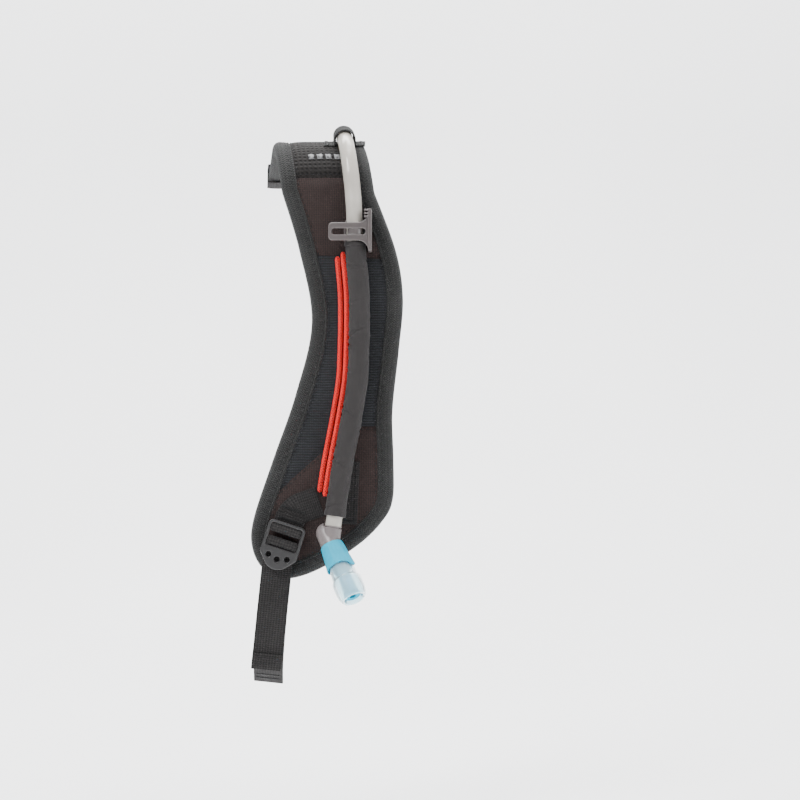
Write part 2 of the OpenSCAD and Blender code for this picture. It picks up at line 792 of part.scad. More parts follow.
strap_foam();
back_lining();
top_mesh_panel();
upper_panel();
middle_panel();
lower_panel();
edge_binding();
inner_bead();
reflective_bars();
center_webbing();
dock_piping();
dock_magnets();
tube_keeper();
root_cover();
root_bartacks();
tube_clip();
clip_loop();
anchor_webbing();
anchor_bartack();
shoulder_tube();
quick_plug();
quick_plug_orings();
tube_link(0);  // tube_link_1
tube_link(1);  // tube_link_2
tube_link(2);  // tube_link_3
tube_link(3);  // tube_link_4
tube_link(4);  // tube_link_5
tube_link(5);  // tube_link_6
sleeve_link(0);  // sleeve_link_1
sleeve_link(1);  // sleeve_link_2
sleeve_link(2);  // sleeve_link_3
sleeve_link(3);  // sleeve_link_4
sleeve_link(4);  // sleeve_link_5
sleeve_link(5);  // sleeve_link_6
piping_link(0);  // piping_link_1
piping_link(1);  // piping_link_2
piping_link(2);  // piping_link_3
piping_link(3);  // piping_link_4
piping_link(4);  // piping_link_5
piping_link(5);  // piping_link_6
sleeve_cuff();
sleeve_magnet(2);  // sleeve_magnet_3
sleeve_magnet(4);  // sleeve_magnet_5
valve_barb();
barb_oring();
valve_elbow();
barrel_orings();
valve_stem();
twist_collar();
mouthpiece();
ladder_buckle();
adjuster_webbing();
tail_hem();
load_end_bartack();
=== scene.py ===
"""Looks of the hydration pack's shoulder strap: padded strap, sleeved drinking hose, bite valve, clip, buckle
and webbing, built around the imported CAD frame. Everything is in metres, in the frame's own axes."""

import json
import math

import bmesh
import bpy
import numpy as np
from mathutils import Matrix, Vector
from mathutils.bvhtree import BVHTree


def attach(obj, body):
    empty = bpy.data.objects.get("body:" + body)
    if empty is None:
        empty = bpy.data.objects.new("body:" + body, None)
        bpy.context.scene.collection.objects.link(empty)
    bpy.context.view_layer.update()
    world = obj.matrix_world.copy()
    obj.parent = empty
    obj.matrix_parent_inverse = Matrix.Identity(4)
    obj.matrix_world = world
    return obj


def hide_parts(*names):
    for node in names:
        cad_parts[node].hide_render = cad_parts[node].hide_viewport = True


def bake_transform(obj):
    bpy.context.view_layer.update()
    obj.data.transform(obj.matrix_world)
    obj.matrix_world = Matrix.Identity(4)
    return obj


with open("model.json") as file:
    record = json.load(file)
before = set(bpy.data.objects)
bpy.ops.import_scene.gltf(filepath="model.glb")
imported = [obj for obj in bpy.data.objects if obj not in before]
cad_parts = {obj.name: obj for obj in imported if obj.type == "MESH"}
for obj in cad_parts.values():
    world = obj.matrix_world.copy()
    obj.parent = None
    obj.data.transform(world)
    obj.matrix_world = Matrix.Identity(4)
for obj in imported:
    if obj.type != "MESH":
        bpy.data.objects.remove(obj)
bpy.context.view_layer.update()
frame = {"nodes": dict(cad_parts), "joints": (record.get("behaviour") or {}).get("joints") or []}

MM = 0.001
JOINTS = {j["name"]: j for j in frame["joints"]}

# ---- Driving dimensions, as in the CAD ----
STRAP_W = 57.6 * MM
CREST_R = 30 * MM
CREST_TURN = math.radians(100)
BACK_RUN = 62 * MM
DRIFT = 0.13
PANEL_FRONT = 3.8 * MM
LINING_BACK = 4.3 * MM
TUBE_R = 5 * MM
PIPING_R = 1.65 * MM
WEB_W = 18.8 * MM
WEB_T = 1.3 * MM

CREST_LEN = CREST_R * CREST_TURN
STRAP_END = CREST_LEN + BACK_RUN
ROOT_Y = CREST_R * (1 - math.cos(CREST_TURN)) + BACK_RUN * math.sin(CREST_TURN)
ROOT_Z = CREST_R * math.sin(CREST_TURN) + BACK_RUN * math.cos(CREST_TURN)
FRONT = np.array([DRIFT * (ROOT_Y + ROOT_Z), -ROOT_Y, -ROOT_Z])

# The strap's front outline in millimetres, from the shoulder down one side and up the other
EDGE_MM = [
    (-28.8, 0), (-17.9, -36.6), (-10.2, -81), (-20.3, -126), (-34, -165.5), (-46.4, -203),
    (-47.2, -221), (-40, -234.5), (-26, -240.3), (-6.7, -235), (18.1, -220), (33.6, -205),
    (40.4, -191), (40.8, -165), (40.2, -136), (44.3, -97), (46.7, -66), (42.3, -36.6), (28.8, 0),
]
UPPER_SEAM = 8 * MM
MIDDLE_SEAM = [(-70 * MM, -36.8 * MM), (70 * MM, -43 * MM)]
LOWER_SEAM = [(-70 * MM, -221.8 * MM), (13.8 * MM, -145.7 * MM), (70 * MM, -144.8 * MM)]


# ---- Curves and meshes ----


def smooth_curve(points, steps):
    """A smooth curve through points, as an array."""
    p = [np.array(q, float) for q in points]
    out = []
    for i in range(len(p) - 1):
        a, b, c, d = p[max(i - 1, 0)], p[i], p[i + 1], p[min(i + 2, len(p) - 1)]
        for j in range(steps):
            t = j / steps
            out.append(
                0.5 * (
                    2 * b + (c - a) * t + (2 * a - 5 * b + 4 * c - d) * t * t + (
                        3 * b - a - 3 * c + d
                    ) * t**3
                )
            )
    return np.array(out + [p[-1]])


def evenly(path, step):
    """The same path with points step apart."""
    path = np.array(path, float)
    run = np.concatenate([[0], np.cumsum(np.linalg.norm(np.diff(path, axis=0), axis=1))])
    n = max(2, int(round(run[-1] / step)) + 1)
    at = np.linspace(0, run[-1], n)
    return np.stack([np.interp(at, run, path[:, k]) for k in range(path.shape[1])], axis=1)


def eased(path, reach):
    """The path with its corners eased over a number of points; the ends keep their place."""
    out = path.copy()
    for i in range(1, len(path) - 1):
        k = min(reach, i, len(path) - 1 - i)
        out[i] = path[i - k : i + k + 1].mean(axis=0)
    return out


def tangents(path):
    d = np.gradient(np.array(path, float), axis=0)
    return d / np.linalg.norm(d, axis=1, keepdims=True)


def inward(path):
    """Unit normals of a flat path, to the left of its direction."""
    t = tangents(path)
    return np.stack([-t[:, 1], t[:, 0]], axis=1)


def place(x, s, n):
    """Points of the strap: x across it, s along it from the start of the bend, n in front of its middle."""
    x, s, n = (np.asarray(v, float) for v in np.broadcast_arrays(x, s, n))
    turn = np.clip(s, 0, CREST_LEN) / CREST_R
    rest = np.where(s > CREST_LEN, s - CREST_LEN, np.minimum(s, 0))
    y0 = CREST_R * (1 - np.cos(turn)) + rest * np.sin(turn)
    z0 = CREST_R * np.sin(turn) + rest * np.cos(turn)
    side = np.where(s > 0, -DRIFT * (y0 + z0), 0)
    out = np.stack([x + side, y0 - n * np.cos(turn), z0 + n * np.sin(turn)], axis=-1)
    return out + FRONT


def new_object(name, verts, faces, uvs=None, material=None, smooth=True):
    mesh = bpy.data.meshes.new(name)
    mesh.from_pydata([tuple(v) for v in verts], [], [tuple(f) for f in faces])
    mesh.validate()
    if uvs is not None:
        layer = mesh.uv_layers.new(name="UVMap")
        for loop in mesh.loops:
            layer.data[loop.index].uv = uvs[loop.vertex_index]
    for poly in mesh.polygons:
        poly.use_smooth = smooth
    obj = bpy.data.objects.new(name, mesh)
    bpy.context.scene.collection.objects.link(obj)
    if material is not None:
        mesh.materials.append(material)
    return obj


def grid_faces(rows, cols, wrap=False):
    faces = []
    for i in range(rows - 1):
        for j in range(cols if wrap else cols - 1):
            k = (j + 1) % cols
            faces.append((i * cols + j, i * cols + k, (i + 1) * cols + k, (i + 1) * cols + j))
    return faces


def grid_object(name, points, uvs, material, wrap=False, caps=False, flip=False):
    """A sheet, or a tube where wrap is true, from a rows by columns array of points."""
    rows, cols = points.shape[:2]
    faces = grid_faces(rows, cols, wrap)
    if caps:
        faces.append(tuple(range(cols - 1, -1, -1)))
        faces.append(tuple(range((rows - 1) * cols, rows * cols)))
    if flip:
        faces = [tuple(reversed(f)) for f in faces]
    flat_uv = [tuple(u) for u in uvs.reshape(-1, 2)]
    return new_object(name, points.reshape(-1, 3), faces, flat_uv, material)


def apply_modifiers(obj):
    """Leaves the object with its evaluated mesh and no modifiers."""
    depsgraph = bpy.context.evaluated_depsgraph_get()
    mesh = bpy.data.meshes.new_from_object(obj.evaluated_get(depsgraph))
    old = obj.data
    obj.modifiers.clear()
    obj.data = mesh
    bpy.data.meshes.remove(old)
    mesh.name = obj.name
    return obj


def shade_smooth(obj, angle=None):
    for poly in obj.data.polygons:
        poly.use_smooth = True
    if angle is not None:
        obj.data.set_sharp_from_angle(angle=math.radians(angle))
    return obj


def rings_along(path, radius, sides, start_up=(0, -1, 0)):
    """Rings of points round a path. radius is a number or one for each point; rings don't twist."""
    path = np.array(path, float)
    t = tangents(path)
    radius = np.broadcast_to(radius, len(path))
    up = np.array(start_up, float)
    out = np.zeros((len(path), sides, 3))
    angle = np.arange(sides) * 2 * math.pi / sides
    for i in range(len(path)):
        up = up - t[i] * up.dot(t[i])
        up /= np.linalg.norm(up)
        side = np.cross(t[i], up)
        out[i] = path[i] + radius[i] * (np.outer(np.cos(angle), up) + np.outer(np.sin(angle), side))
    return out


def tube_object(name, path, radius, sides, material, caps=False, start_up=(0, -1, 0), v0=0.0):
    """A round tube along a path; its map runs round by angle and along by length, both in metres."""
    points = rings_along(path, radius, sides, start_up)
    run = np.concatenate([[0], np.cumsum(np.linalg.norm(np.diff(np.array(path), axis=0), axis=1))]) + v0
    mean = float(np.mean(radius))
    uvs = np.zeros((len(path), sides, 2))
    uvs[..., 0] = np.arange(sides) * 2 * math.pi * mean / sides
    uvs[..., 1] = run[:, None]
    return grid_object(name, points, uvs, material, wrap=True, caps=caps)


def spin_object(name, profile, sides, place_at, material, closed=True):
    """A turned shape. profile lists (radius, height); place_at is its matrix, with the axis along local Z."""
    n = len(profile)
    verts, uvs = [], []
    run = 0.0
    for i, (r, z) in enumerate(profile):
        if i:
            run += math.hypot(r - profile[i - 1][0], z - profile[i - 1][1])
        for j in range(sides):
            a = j * 2 * math.pi / sides
            verts.append(place_at @ Vector((r * math.cos(a), r * math.sin(a), z)))
            uvs.append((a * 6 * MM, run))
    faces = []
    for i in range(n if closed else n - 1):
        for j in range(sides):
            k, m = (j + 1) % sides, (i + 1) % n
            faces.append((i * sides + j, i * sides + k, m * sides + k, m * sides + j))
    return new_object(name, verts, faces, uvs, material)


def frame_matrix(origin, z_axis, x_hint):
    z = Vector(z_axis).normalized()
    x = Vector(x_hint) - z * Vector(x_hint).dot(z)
    x.normalize()
    y = z.cross(x)
    return Matrix(
        ((x.x, y.x, z.x, origin[0]), (x.y, y.y, z.y, origin[1]), (x.z, y.z, z.z, origin[2]), (0, 0, 0, 1))
    )


def stitches(name, path3d, normals, length, gap, radius, material, lift=0.0):
    """A row of short thread stitches along a path, each a small capsule that dips at both ends."""
    path = np.array(path3d, float)
    run = np.concatenate([[0], np.cumsum(np.linalg.norm(np.diff(path, axis=0), axis=1))])
    verts, faces = [], []
    sides, profile = 6, [
        (-0.5, 0.3, -0.8), (-0.32, 0.95, 0.3), (0, 1, 0.6), (0.32, 0.95, 0.3), (0.5, 0.3, -0.8)
    ]
    at = length
    while at < run[-1] - length:
        def point(d):
            return np.array([np.interp(d, run, path[:, k]) for k in range(3)])
        normal = np.array([np.interp(at, run, normals[:, k]) for k in range(3)])
        normal /= np.linalg.norm(normal)
        t = point(at + length / 2) - point(at - length / 2)
        t /= np.linalg.norm(t)
        side = np.cross(t, normal)
        base = len(verts)
        for u, r, h in profile:
            centre = point(at + u * length) + normal * (lift + h * radius)
            for j in range(sides):
                a = j * 2 * math.pi / sides
                verts.append(centre + radius * r * (math.cos(a) * normal + math.sin(a) * side))
        for i in range(len(profile) - 1):
            for j in range(sides):
                k = (j + 1) % sides
                faces.append(
                    (base + i * sides + j, base + i * sides + k,
                     base + (i + 1) * sides + k, base + (i + 1) * sides + j)
                )
        faces.append(tuple(base + j for j in range(sides - 1, -1, -1)))
        faces.append(tuple(base + (len(profile) - 1) * sides + j for j in range(sides)))
        at += length + gap
    return new_object(name, verts, faces, None, material)


# ---- Materials ----


class Nodes:
    """Short calls for a material's node tree."""

    def __init__(self, name):
        self.material = bpy.data.materials.new(name)
        self.material.use_nodes = True
        self.tree = self.material.node_tree
        self.shader = self.tree.nodes["Principled BSDF"]

    def add(self, kind, **values):
        node = self.tree.nodes.new(kind)
        for key, value in values.items():
            if hasattr(node, key) and key not in node.inputs:
                setattr(node, key, value)
            else:
                node.inputs[key].default_value = value
        return node

    def link(self, source, target):
        self.tree.links.new(source, target)

    def math(self, operation, a, b=None):
        node = self.tree.nodes.new("ShaderNodeMath")
        node.operation = operation
        for i, value in enumerate((a, b)):
            if value is None:
                continue
            if isinstance(value, (int, float)):
                node.inputs[i].default_value = value
            else:
                self.link(value, node.inputs[i])
        return node.outputs[0]

    def uv(self):
        split = self.add("ShaderNodeSeparateXYZ")
        self.link(self.add("ShaderNodeUVMap").outputs[0], split.inputs[0])
        return split.outputs[0], split.outputs[1]

    def place_coordinates(self):
        return self.add("ShaderNodeTexCoord").outputs["Object"]

    def noise(self, scale, detail=3.0, vector=None, roughness=0.55):
        node = self.add("ShaderNodeTexNoise", Scale=scale, Detail=detail, Roughness=roughness)
        self.link(vector if vector is not None else self.place_coordinates(), node.inputs["Vector"])
        return node.outputs["Fac"]

    def ramp(self, value, dark, light, low=0.3, high=0.7):
        node = self.add("ShaderNodeValToRGB")
        node.color_ramp.elements[0].position = low
        node.color_ramp.elements[0].color = (*dark, 1)
        node.color_ramp.elements[1].position = high
        node.color_ramp.elements[1].color = (*light, 1)
        self.link(value, node.inputs[0])
        return node.outputs["Color"]

    def bump(self, height, distance, strength=1.0):
        node = self.add("ShaderNodeBump", Strength=strength, Distance=distance)
        self.link(height, node.inputs["Height"])
        self.link(node.outputs[0], self.shader.inputs["Normal"])
        return node

    def set(self, **values):
        for key, value in values.items():
            self.shader.inputs[key.replace("_", " ")].default_value = value
        return self


def scaled(colour, k):
    return tuple(min(1.0, c * k) for c in colour)


def finish_colour(n, colour, pattern, contrast, mottle=0.25):
    """Base colour from a fine pattern, broken up by soft uneven patches."""
    fine = n.ramp(pattern, scaled(colour, 1 - contrast), scaled(colour, 1 + contrast), 0.1, 0.9)
    patches = n.noise(55.0, 3)
    broad = n.ramp(patches, (1 - mottle,) * 3, (1 + 0 * mottle,) * 3, 0.3, 0.7)
    mix = n.add("ShaderNodeMix", data_type="RGBA", blend_type="MULTIPLY")
    mix.inputs[0].default_value = 1.0
    n.link(fine, mix.inputs[6])
    n.link(broad, mix.inputs[7])
    n.link(mix.outputs[2], n.shader.inputs["Base Color"])


def wave(n, coordinate, period):
    """|sin| of a coordinate: 0 in the valleys and 1 on the crests, one crest for each period."""
    return n.math("ABSOLUTE", n.math("SINE", n.math("MULTIPLY", coordinate, math.pi / period)))


def weave_height(n, u, v, pu, pv):
    """Over-and-under threads of a plain weave."""
    su = n.math("SINE", n.math("MULTIPLY", u, math.pi / pu))
    sv = n.math("SINE", n.math("MULTIPLY", v, math.pi / pv))
    over = n.math("GREATER_THAN", n.math("MULTIPLY", su, sv), 0.0)
    a = n.math("MULTIPLY", n.math("ABSOLUTE", su), over)
    b = n.math("MULTIPLY", n.math("ABSOLUTE", sv), n.math("SUBTRACT", 1.0, over))
    return n.math("ADD", a, b)


def fabric(name, colour, height, depth, contrast=0.35, roughness=0.9, sheen=0.25, mottle=0.25):
    """height(n, u, v) gives the thread pattern; depth is how far it stands up, in metres."""
    n = Nodes(name)
    u, v = n.uv()
    pattern = height(n, u, v)
    fuzz = n.noise(2600.0, 2)
    rough = n.math("ADD", pattern, n.math("MULTIPLY", fuzz, 0.35))
    finish_colour(n, colour, pattern, contrast, mottle)
    n.bump(rough, depth)
    n.set(Roughness=roughness, Sheen_Weight=sheen, Sheen_Roughness=0.45, Specular_IOR_Level=0.25)
    return n.material


def rib_height(pu, pv, share=0.75):
    """Cords across the cloth, with a fine thread running over them."""
    def height(n, u, v):
        rib = wave(n, v, pv)
        thread = wave(n, u, pu)
        return n.math("ADD", n.math("MULTIPLY", rib, share), n.math("MULTIPLY", thread, 1 - share))
    return height


def plain_height(pu, pv):
    return lambda n, u, v: weave_height(n, u, v, pu, pv)


def knit_height(pu, pv):
    """Slanted loops in columns, as on a stretch knit."""
    def height(n, u, v):
        zigzag = n.math("PINGPONG", u, pu / 2)
        slanted = n.math("ADD", v, n.math("MULTIPLY", zigzag, 1.1))
        columns = n.math("ADD", n.math("MULTIPLY", wave(n, u, pu), 0.3), 0.7)
        return n.math("MULTIPLY", wave(n, slanted, pv), columns)
    return height


def braid_height(period):
    """Two sets of strands that cross at an angle."""
    def height(n, u, v):
        a = n.math("ADD", v, n.math("MULTIPLY", u, 0.9))
        b = n.math("SUBTRACT", v, n.math("MULTIPLY", u, 0.9))
        return weave_height(n, a, b, period, period)
    return height


def air_mesh_height(n, u, v):
    """Open mesh: a near-regular grid of small round holes."""
    cell = n.add("ShaderNodeTexVoronoi", feature="F1", Scale=1.0, Randomness=0.12)
    joined = n.add("ShaderNodeCombineXYZ")
    n.link(n.math("MULTIPLY", u, 1 / 0.0029), joined.inputs[0])
    n.link(n.math("MULTIPLY", v, 1 / 0.0025), joined.inputs[1])
    n.link(joined.outputs[0], cell.inputs["Vector"])
    return n.math("MINIMUM", n.math("MULTIPLY", cell.outputs["Distance"], 2.2), 1.0)


def plastic(name, colour, roughness=0.4, grain=0.00003, edge_highlight=1.25, **sockets):
    """Moulded plastic: a fine eggshell grain, slightly uneven gloss and edges lightened by a painted
    highlight.
    """
    n = Nodes(name)
    fine = n.noise(1800.0, 3)
    edge = n.add("ShaderNodeNewGeometry").outputs["Pointiness"]
    # painted highlight: convex edges, found by Pointiness, get a lighter base colour
    edge_highlight_colour = n.ramp(edge, colour, scaled(colour, edge_highlight), 0.5, 0.58)
    cloud = n.ramp(n.noise(70.0, 4), (0.88, 0.88, 0.88), (1, 1, 1), 0.35, 0.65)
    mix = n.add("ShaderNodeMix", data_type="RGBA", blend_type="MULTIPLY")
    mix.inputs[0].default_value = 1.0
    n.link(edge_highlight_colour, mix.inputs[6])
    n.link(cloud, mix.inputs[7])
    n.link(mix.outputs[2], n.shader.inputs["Base Color"])
    uneven = n.add("ShaderNodeMapRange")
    uneven.inputs["To Min"].default_value = roughness - 0.06
    uneven.inputs["To Max"].default_value = roughness + 0.1
    n.link(n.noise(300.0, 3), uneven.inputs["Value"])
    n.link(uneven.outputs[0], n.shader.inputs["Roughness"])
    n.bump(fine, grain)
    return n.set(**sockets).material


KNIT = fabric(
    "binding_knit", (0.0170, 0.0172, 0.0166), knit_height(2.1 * MM, 1.5 * MM), 0.5 * MM, 0.95, sheen=0.05
)
BROWN = fabric(
    "brown_weave", (0.0165, 0.0100, 0.0090), plain_height(1.4 * MM, 1.1 * MM), 0.2 * MM, 0.6, sheen=0.03
)
RIBBED = fabric(
    "ribbed_weave", (0.0085, 0.0092, 0.0105), rib_height(1.4 * MM, 1.6 * MM), 0.40 * MM, 0.8, sheen=0.04
)
AIR_MESH = fabric("air_mesh", (0.0048, 0.0040, 0.0037), air_mesh_height, 0.7 * MM, 0.95, sheen=0.01)
LINING = fabric("lining_mesh", (0.0095, 0.0093, 0.0092), air_mesh_height, 0.8 * MM, 0.9, sheen=0.05)
WEBBING = fabric(
    "webbing_weave", (0.0115, 0.0106, 0.0104), rib_height(1.7 * MM, 1.3 * MM, 0.55), 0.4 * MM, 0.8,
    sheen=0.03
)
BRAID = fabric("red_braid", (0.66, 0.006, 0.003), braid_height(1.7 * MM), 0.45 * MM, 0.7, 0.6, 0.05, 0.1)
SLEEVE = fabric(
    "sleeve_cloth", (0.0175, 0.0153, 0.0151), plain_height(0.6 * MM, 0.6 * MM), 0.06 * MM, 0.2, 0.72, 0.06,
    0.2
)
THREAD = fabric(
    "thread", (0.006, 0.006, 0.006), plain_height(0.2 * MM, 0.2 * MM), 0.03 * MM, 0.3, 0.7, 0.05
)
REFLECT = fabric("reflective_print", (0.085, 0.085, 0.087), air_mesh_height, 0.2 * MM, 0.95, 0.35, 0.0, 0.3)
# the clip and the buckle carry a strong painted highlight on their edges
CLIP = plastic("clip_plastic", (0.060, 0.051, 0.049), 0.30, edge_highlight=1.9, Specular_IOR_Level=0.6)
BUCKLE = plastic("buckle_plastic", (0.0105, 0.0099, 0.0099), 0.34, edge_highlight=2.6)
ELBOW = plastic("elbow_plastic", (0.125, 0.108, 0.106), 0.34)
CYAN = plastic("cyan_plastic", (0.0005, 0.30, 0.44), 0.45, edge_highlight=1.1, Specular_IOR_Level=0.15)
RUBBER = plastic("seal_rubber", (0.02, 0.02, 0.02), 0.6)
METAL = plastic("magnet_metal", (0.6, 0.6, 0.62), 0.25, Metallic=1.0)
FOAM = plastic("foam_core", (0.2, 0.2, 0.2), 0.9, grain=0.0003)


def clear_material(name, colour, transmission, roughness, ior, cloud):
    """Milky see-through plastic or silicone, a little cloudier in patches."""
    n = Nodes(name)
    n.link(
        n.ramp(n.noise(90.0, 3), scaled(colour, 1 - cloud), colour, 0.35, 0.65),
        n.shader.inputs["Base Color"]
    )
    n.bump(n.noise(500.0, 2), 0.00003)
    n.set(Roughness=roughness, Transmission_Weight=transmission, IOR=ior, Subsurface_Weight=0.15)
    n.shader.inputs["Subsurface Radius"].default_value = (0.004, 0.004, 0.004)
    return n.material


TUBE = clear_material("clear_tube", (0.64, 0.605, 0.545), 0.5, 0.16, 1.4, 0.10)
SILICONE = clear_material("silicone", (0.62, 0.87, 0.95), 0.72, 0.30, 1.2, 0.08)

# ---- The strap's outline, unrolled flat ----
HALF_W = STRAP_W / 2
edge_curve = smooth_curve([(x * MM, z * MM) for x, z in EDGE_MM], 10)
over_shoulder = np.arange(STRAP_END, 0, -3 * MM)
OUTLINE = evenly(
    np.concatenate(
        [
            np.stack([np.full(len(over_shoulder), -HALF_W), over_shoulder], 1),
            edge_curve,
            np.stack([np.full(len(over_shoulder), HALF_W), over_shoulder[::-1]], 1),
        ]
    ),
    2 * MM,
)
OUTLINE_IN = inward(OUTLINE)


def inset(d):
    return OUTLINE + OUTLINE_IN * d


def edge_distance(x, s):
    """Distance of flat points from the strap's outline; the sewn root end doesn't count."""
    p = np.stack([np.ravel(x), np.ravel(s)], 1)
    a, b = OUTLINE[:-1], OUTLINE[1:]
    ab = b - a
    best = np.full(len(p), 1.0)
    for i in range(len(a)):
        ap = p - a[i]
        t = np.clip(ap @ ab[i] / (ab[i] @ ab[i]), 0, 1)
        best = np.minimum(best, np.linalg.norm(ap - t[:, None] * ab[i], axis=1))
    return best.reshape(np.shape(x))


def seam_height(seam, x):
    return np.interp(x, [p[0] for p in seam], [p[1] for p in seam])


def bump_at(distance, width):
    return np.exp(-((distance / width) ** 2))


def front_height(x, s):
    """How far the padded front stands in front of the strap's middle."""
    d = edge_distance(x, s)
    n = PANEL_FRONT - 0.2 * MM + 1.0 * MM * (1 - np.exp(-np.maximum(d - 9 * MM, 0) / (9 * MM)))
    for seam in (MIDDLE_SEAM, LOWER_SEAM):
        n = n - 0.75 * MM * bump_at(s - seam_height(seam, x), 1.3 * MM)
    n = n - 0.75 * MM * bump_at(s - UPPER_SEAM, 1.3 * MM)
    # slack in the cloth: long, shallow wrinkles, stronger where the strap narrows
    slack = np.sin(s * 210 + x * 90) * np.sin(x * 160 - s * 40) + 0.6 * np.sin(s * 95 - x * 210 + 1.3)
    n = n + 0.13 * MM * slack * (1 - np.exp(-np.maximum(d - 9 * MM, 0) / (6 * MM)))
    # one pinched crease beside the hose
    crease = bump_at((x - 1 * MM) - 0.25 * (s + 2 * MM), 1.4 * MM) * bump_at(s + 1 * MM, 8 * MM)
    return n - 0.55 * MM * crease


def back_height(x, s):
    d = edge_distance(x, s)
    n = LINING_BACK - 0.2 * MM + 1.1 * MM * (1 - np.exp(-np.maximum(d - 9 * MM, 0) / (10 * MM)))
    slack = np.sin(s * 180 + x * 60) * np.sin(x * 140) + 0.5 * np.sin(s * 75 + 0.7)
    return n + 0.12 * MM * slack


def panel_at(x, s):
    """Which front panel covers a point: 0 top mesh, 1 upper, 2 middle, 3 lower."""
    if s > UPPER_SEAM:
        return 0
    return 1 if s > seam_height(MIDDLE_SEAM, x) else 2 if s > seam_height(LOWER_SEAM, x) else 3


# ---- Padded strap: one closed slab, filled while it lies flat, then curved over the shoulder ----
SEWN = 6.2 * MM  # the panels end under the binding, this far inside the outline
BACK_PANEL = 4
FLAT_SCALE = 10  # the flat slab is simulated ten times as large, where cloth is stable


def flat_slab(step):
    """The strap's front and back cloth, sewn together at the rim, in flat coordinates (x, s, n)."""
    line = inset(SEWN)
    bottom = int(np.argmin(line[:, 1]))
    left, right = line[: bottom + 1][::-1], line[bottom:]
    first, last = line[bottom, 1], STRAP_END - 1 * MM
    # rows are closer together at the rounded lower end
    rows = first + (last - first) * np.concatenate(
        [[0.0002, 0.001, 0.003, 0.006], np.arange(0.01, 1, step / (last - first)), [1]]
    )
    cols = int(0.075 / step)
    bm = bmesh.new()
    previous = None
    for s in rows:
        x0, x1 = np.interp(s, left[:, 1], left[:, 0]), np.interp(s, right[:, 1], right[:, 0])
        row = [bm.verts.new((x0 + (x1 - x0) * j / (cols - 1), s, 0)) for j in range(cols)]
        if previous:
            for j in range(cols - 1):
                bm.faces.new((previous[j], previous[j + 1], row[j + 1], row[j]))
        previous = row
    knee = LOWER_SEAM[1][0]
    for a, b, low, high in (
        ((-1, UPPER_SEAM), (1, UPPER_SEAM), -1, 1),
        (*MIDDLE_SEAM, -1, 1),
        ((knee, -1), (knee, 1), -1, 1),
        (*LOWER_SEAM[:2], -1, knee),
        (*LOWER_SEAM[1:], knee, 1),
    ):
        faces = [f for f in bm.faces if low < f.calc_center_median().x < high]
        parts = set(faces) | {v for f in faces for v in f.verts} | {e for f in faces for e in f.edges}
        normal = Vector((a[1] - b[1], b[0] - a[0], 0))
        bmesh.ops.bisect_plane(bm, geom=list(parts), dist=1e-7, plane_co=(*a, 0), plane_no=normal)
    bm.verts.index_update()
    flat = np.array([v.co for v in bm.verts])
    faces = [[v.index for v in f.verts] for f in bm.faces]
    kinds = [panel_at(*f.calc_center_median()[:2]) for f in bm.faces]
    rim = [[v.index for v in e.verts] for e in bm.edges if e.is_boundary]
    bm.free()
    n = len(flat)
    front, back = flat.copy(), flat.copy()
    front[:, 2] = front_height(flat[:, 0], flat[:, 1])
    back[:, 2] = -back_height(flat[:, 0], flat[:, 1])
    all_faces = faces + [[i + n for i in reversed(f)] for f in faces] + [
        [a, b, b + n, a + n] for a, b in rim
    ]
    slab = new_object("slab", np.concatenate([front, back]), all_faces)
    for poly in slab.data.polygons:
        poly.material_index = kinds[poly.index] if poly.index < len(kinds) else BACK_PANEL
    bm = bmesh.new()
    bm.from_mesh(slab.data)
    bmesh.ops.recalc_face_normals(bm, faces=list(bm.faces))
    bm.to_mesh(slab.data)
    bm.free()
    return slab


def coordinates(obj):
    co = np.zeros(len(obj.data.vertices) * 3)
    obj.data.vertices.foreach_get("co", co)
    return co.reshape(-1, 3)


def set_coordinates(obj, co):
    obj.data.vertices.foreach_set("co", np.asarray(co, float).ravel())
    obj.data.update()


def seam_distance(x, s):
    seams = [seam_height(MIDDLE_SEAM, x), seam_height(LOWER_SEAM, x), np.full(np.shape(x), UPPER_SEAM)]
    return np.min([np.abs(s - h) for h in seams], axis=0)


def fill_slab(slab, travel):
    """Blows the closed slab up as its foam does, held at rim and seams. No point moves past travel."""
    rest = coordinates(slab)
    held = (edge_distance(rest[:, 0], rest[:, 1]) < 10 * MM) | (
        (seam_distance(rest[:, 0], rest[:, 1]) < 2 * MM) & (rest[:, 2] > 0)
    )
    pins = slab.vertex_groups.new(name="sewn")
    pins.add([int(i) for i in np.nonzero(held)[0]], 1.0, "REPLACE")
    set_coordinates(slab, rest * FLAT_SCALE)
    cloth = slab.modifiers.new("cloth", "CLOTH")
    cloth.settings.quality = 6
    cloth.settings.mass = 0.3
    cloth.settings.tension_stiffness = 25
    cloth.settings.compression_stiffness = 25
    cloth.settings.bending_stiffness = 1.5
    cloth.settings.shrink_min = -0.012
    cloth.settings.use_pressure = True
    cloth.settings.uniform_pressure_force = 4
    cloth.settings.vertex_group_mass = "sewn"
    cloth.settings.effector_weights.gravity = 0
    cloth.collision_settings.use_collision = False
    cloth.point_cache.frame_start, cloth.point_cache.frame_end = 1, 20
    for at in range(1, 21):
        bpy.context.scene.frame_set(at)
    apply_modifiers(slab)
    bpy.context.scene.frame_set(1)
    moved = coordinates(slab) / FLAT_SCALE - rest
    length = np.linalg.norm(moved, axis=1, keepdims=True)
    set_coordinates(slab, rest + moved * np.minimum(1, travel / np.maximum(length, 1e-9)))


slab = flat_slab(2.6 * MM)
fill_slab(slab, 0.7 * MM)
finer = slab.modifiers.new("finer", "SUBSURF")
finer.levels = finer.render_levels = 1
apply_modifiers(slab)
FLAT = coordinates(slab)
SURFACE = BVHTree.FromPolygons([tuple(v) for v in FLAT], [tuple(p.vertices) for p in slab.data.polygons])


